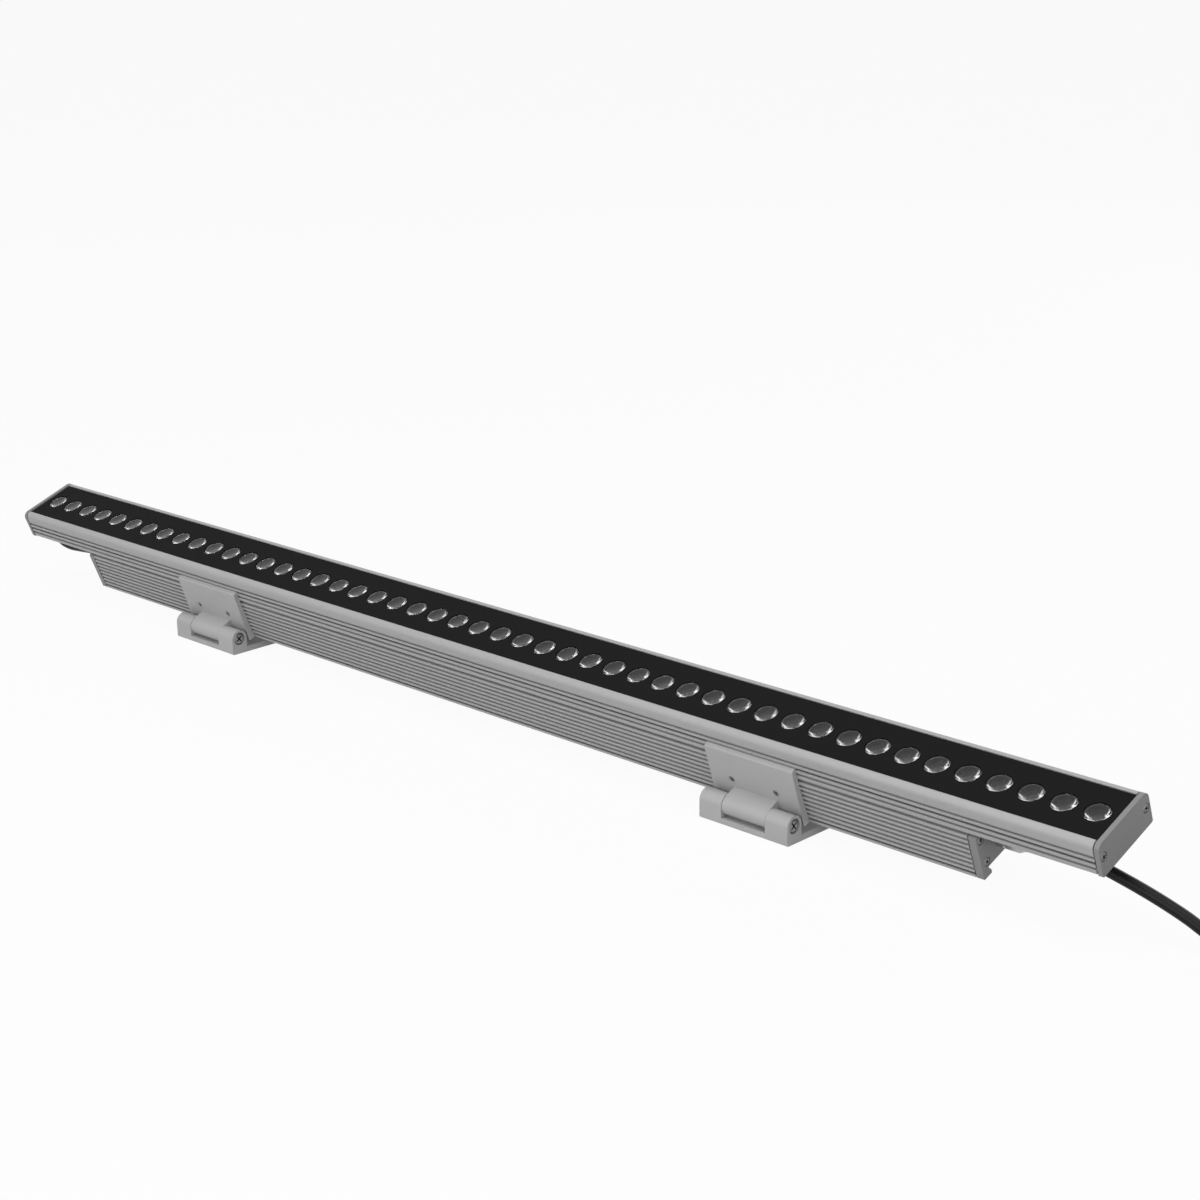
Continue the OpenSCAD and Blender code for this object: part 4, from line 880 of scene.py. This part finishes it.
plateOutline = [(-halfWidth, arm["top"]), (-halfWidth - arm["topThick"], arm["top"] - arm["slope"]),
                (-halfWidth - arm["lowThick"], railLow), (-halfWidth, railLow)]
plateOutline += hookPoints(-49.395 * mm) + hookPoints(-12.28 * mm)
plateRadii = [0.3 * mm, 0.7 * mm, 0.5 * mm, 0.3 * mm] + [0] * 12
armAxis = (axis["y"], axis["z"])
neckFace = plateFace(arm["neckTop"])
neckLow = arm["neckTop"] - arm["neckThick"]
neckEnd = (-38.127 * mm, -39.342 * mm)
startAngle = math.atan2(neckEnd[1] - armAxis[1], neckEnd[0] - armAxis[0])
neckOutline = [(arm["neckIn"], arm["neckTop"]), (neckFace - 0.4 * mm, arm["neckTop"])]
for k in range(33):
    a = startAngle + (2 * math.pi - startAngle) * k / 32
    neckOutline.append((armAxis[0] + arm["knuckle"] * math.cos(a),
                        armAxis[1] + arm["knuckle"] * math.sin(a)))
neckOutline += [(neckFace, neckLow), (arm["neckIn"], neckLow)]
neckBlank = prismMesh(neckOutline, -arm["neckHalf"], arm["neckHalf"], [circle(*armAxis, arm["bore"], 32)])
plateBlank = prismMesh(rounded(plateOutline, plateRadii), -arm["half"], arm["half"])
screwFace = plateFace(arm["screwZ"])
setPlaces = (-arm["screwX"], arm["screwX"])
setHoles = [rodAlong("Y", (x, screwFace - 1 * mm, arm["screwZ"]), arm["screwRadius"] + 0.12 * mm, 8 * mm, 28)
            for x in setPlaces]
armMesh = cut(combined("UNION", plateBlank, neckBlank), *setHoles)
setProfile = [(0, arm["screwRadius"] * 0.8), (0.25 * mm, arm["screwRadius"]), (5.5 * mm, arm["screwRadius"])]
setScrew = cut(lathe(setProfile, 28), hexMesh(-1 * mm, 0.9 * mm, 1.4 * mm))
alongY = Matrix.Rotation(math.pi / 2, 4, "Z")
sides = (("left", -bracketX), ("right", bracketX))
for side, at in sides:
    place = lampFrame @ Matrix.Translation((at, 0, 0))
    piece = newPiece(side + "Arm", moved(armMesh, place), bracketMetal, "lamp", "bracket_silver",
                     side + "_arm")
    soften(piece, arm["edge"], 2)
    screws = []
    for x in setPlaces:
        sunk = Matrix.Translation((x, screwFace + arm["screwSunk"], arm["screwZ"]))
        screws.append(moved(setScrew, place @ sunk @ alongY))
    newPiece(side + "ArmScrews", smoothByAngle(joined(*screws), 40), screwSteel, "lamp", "screw_steel",
             side + "_arm_screws")
print("arms made")

# Feet: base plate with two fixing holes and two hinge ears
foot = {"half": 34 * mm, "front": -43.9 * mm, "depth": 64 * mm, "thick": 4 * mm, "ear": 6.5 * mm,
        "span": 17 * mm, "frontRadius": 1.4 * mm, "hole": 3.3 * mm, "holeY": 12 * mm, "bore": 4.7 * mm,
        "boreDepth": 3.6 * mm, "nutFlats": 8.1 * mm, "edge": 0.4 * mm}
earOutline = [(foot["front"] + foot["frontRadius"], 0), (-30.9 * mm, 0)]
earOutline += [(hinge["y"] + foot["ear"] * math.cos(a), hinge["z"] + foot["ear"] * math.sin(a))
               for a in [math.pi * k / 24 for k in range(25)]]
for k in range(6):
    a = math.pi / 2 * (1 - k / 6)
    earOutline.append((foot["front"] + foot["frontRadius"] * (1 - math.sin(a)),
                       foot["frontRadius"] * (1 - math.cos(a))))
baseOutline = rounded([(foot["front"], 0), (foot["front"] + foot["depth"], 0),
                       (foot["front"] + foot["depth"], foot["thick"]), (foot["front"], foot["thick"])],
                      [foot["frontRadius"], 0.5 * mm, 0.8 * mm, 0], 6)
footMesh = combined("UNION", prismMesh(baseOutline, -foot["half"], foot["half"]),
                    prismMesh(earOutline, -foot["half"], -foot["span"]),
                    prismMesh(earOutline, foot["span"], foot["half"]))
atHinge = Matrix.Translation((0, hinge["y"], hinge["z"]))
footCutters = [rodAlong("X", (-foot["half"] - 1 * mm, hinge["y"], hinge["z"]), arm["bore"], 70 * mm),
               rodAlong("X", (foot["half"] - foot["boreDepth"], hinge["y"], hinge["z"]), foot["bore"],
                        6 * mm, 40),
               moved(hexMesh(-foot["half"] - 1 * mm, -foot["half"] + 4 * mm, foot["nutFlats"]), atHinge)]
for y in (-foot["holeY"], foot["holeY"]):
    footCutters.append(rodAlong("Z", (0, y, -1 * mm), foot["hole"], 6 * mm))
footMesh = cut(footMesh, *footCutters)
bolt = {"shank": 2.5 * mm, "head": 4.25 * mm, "headHeight": 3.2 * mm,
        "cross": (2.9 * mm, 1.0 * mm, 1.5 * mm)}
boltFace = foot["half"] - foot["boreDepth"] + bolt["headHeight"]
boltProfile = [(-foot["half"] - boltFace, bolt["shank"]), (-bolt["headHeight"], bolt["shank"]),
               (-bolt["headHeight"], bolt["head"]), (-0.9 * mm, bolt["head"]),
               (-0.35 * mm, bolt["head"] * 0.93), (0, bolt["head"] * 0.74)]
boltMesh = cut(lathe(boltProfile, 40), crossCutter(*bolt["cross"], 38))
# Painted shade darkens the bolt's cross recess
smoothByAngle(markCrossShade(boltMesh, *bolt["cross"]), 40)
for side, at in sides:
    place = Matrix.Translation((at, 0, 0))
    piece = newPiece(side + "Foot", moved(footMesh, place), bracketMetal, side + "_foot",
                     "bracket_silver", side + "_foot")
    soften(piece, foot["edge"], 2)
    boltPlace = Matrix.Translation((at + boltFace, hinge["y"], hinge["z"]))
    newPiece(side + "HingeBolt", moved(boltMesh, boltPlace), screwSteel, side + "_foot", "screw_steel",
             side + "_hinge_bolt")
print("feet and hinge bolts made")

# The other CAD nodes keep their shapes and take their finishes
finishes = {
    gasketRubber: ["panel_seal", "head_cap_gaskets", "driver_cap_gaskets", "supply_gland_seal",
                   "link_grommet"],
    screwSteel: ["housing_screws", "left_hinge_nut", "right_hinge_nut"],
    cableRubber: ["supply_tail"],
    whitePlastic: ["terminal_block", "board_connector"],
    holderBlack: ["lens_holders"],
    boardWhite: ["led_boards"],
    ledPhosphor: ["leds"],
    caseAluminium: ["power_supply"],
    leadInsulation: ["supply_leads"],
    pinBrass: ["connector_pins"],
}
for finish, names in finishes.items():
    for name in names:
        nodes[name].data.materials.clear()
        nodes[name].data.materials.append(finish)
print("finishes assigned")


# 1 for the rays that show the white background: straight, in metal and through glass
def seenAsPaper(tree):
    path = tree.nodes.new("ShaderNodeLightPath")
    seen = calc(tree, "MAXIMUM", path.outputs["Is Camera Ray"], path.outputs["Is Glossy Ray"])
    return calc(tree, "MAXIMUM", seen, path.outputs["Is Transmission Ray"])


# Floor: pale, white to the camera but for the object's shadow
scene = bpy.context.scene
scene.view_settings.view_transform = "Standard"
floorMaterial = bpy.data.materials.new("floorPaper")
floorMaterial.use_nodes = True
tree = floorMaterial.node_tree
paint = tree.nodes["Principled BSDF"]
paint.inputs["Base Color"].default_value = (0.7, 0.7, 0.7, 1)
paint.inputs["Roughness"].default_value = 0.9
paint.inputs["Specular IOR Level"].default_value = 0
glow = tree.nodes.new("ShaderNodeEmission")
glow.inputs["Color"].default_value = (1, 1, 1, 1)
glow.inputs["Strength"].default_value = 1
share = calc(tree, "MULTIPLY", seenAsPaper(tree), 0.94)
blend = tree.nodes.new("ShaderNodeMixShader")
tree.links.new(share, blend.inputs["Fac"])
tree.links.new(paint.outputs["BSDF"], blend.inputs[1])
tree.links.new(glow.outputs["Emission"], blend.inputs[2])
tree.links.new(blend.outputs["Shader"], tree.nodes["Material Output"].inputs["Surface"])
floorMesh = meshOf("floor", [(-30, -30, 0), (30, -30, 0), (30, 30, 0), (-30, 30, 0)], [[0, 1, 2, 3]])
floor = placed("floor", floorMesh)
floor.location.z = -0.1 * mm
floor.data.materials.append(floorMaterial)

# Light: a pale room, broad lights in front and overhead, and weaker ones from the right and the back
world = bpy.data.worlds.new("world")
scene.world = world
world.use_nodes = True
tree = world.node_tree
tree.nodes.clear()
output = tree.nodes.new("ShaderNodeOutputWorld")
mix = tree.nodes.new("ShaderNodeMixShader")
room = tree.nodes.new("ShaderNodeBackground")
room.inputs["Color"].default_value = (1, 1, 1, 1)
room.inputs["Strength"].default_value = 0.17
paper = tree.nodes.new("ShaderNodeBackground")
paper.inputs["Color"].default_value = (1, 1, 1, 1)
paper.inputs["Strength"].default_value = 1
tree.links.new(seenAsPaper(tree), mix.inputs["Fac"])
tree.links.new(room.outputs["Background"], mix.inputs[1])
tree.links.new(paper.outputs["Background"], mix.inputs[2])
tree.links.new(mix.outputs["Shader"], output.inputs["Surface"])


def areaLight(name, place, target, size, power):
    lamp = bpy.data.lights.new(name, "AREA")
    lamp.shape = "RECTANGLE"
    lamp.size, lamp.size_y = size
    lamp.energy = power
    thing = placed(name, lamp)
    thing.location = place
    thing.rotation_euler = (Vector(target) - Vector(place)).to_track_quat("-Z", "Y").to_euler()
    return thing


areaLight("frontLight", (-0.2, -2.2, 0.9), (0, 0, 0.03), (2.2, 1.2), 27)
areaLight("topLight", (0.2, -0.4, 2.2), (0.1, 0, 0), (2.6, 1.4), 32)
areaLight("backLight", (0.3, 2.3, 1), (0, 0, 0.03), (2.2, 1), 16)
areaLight("rightLight", (2.1, -0.9, 0.8), (0.2, 0, 0.03), (1.2, 1), 12)
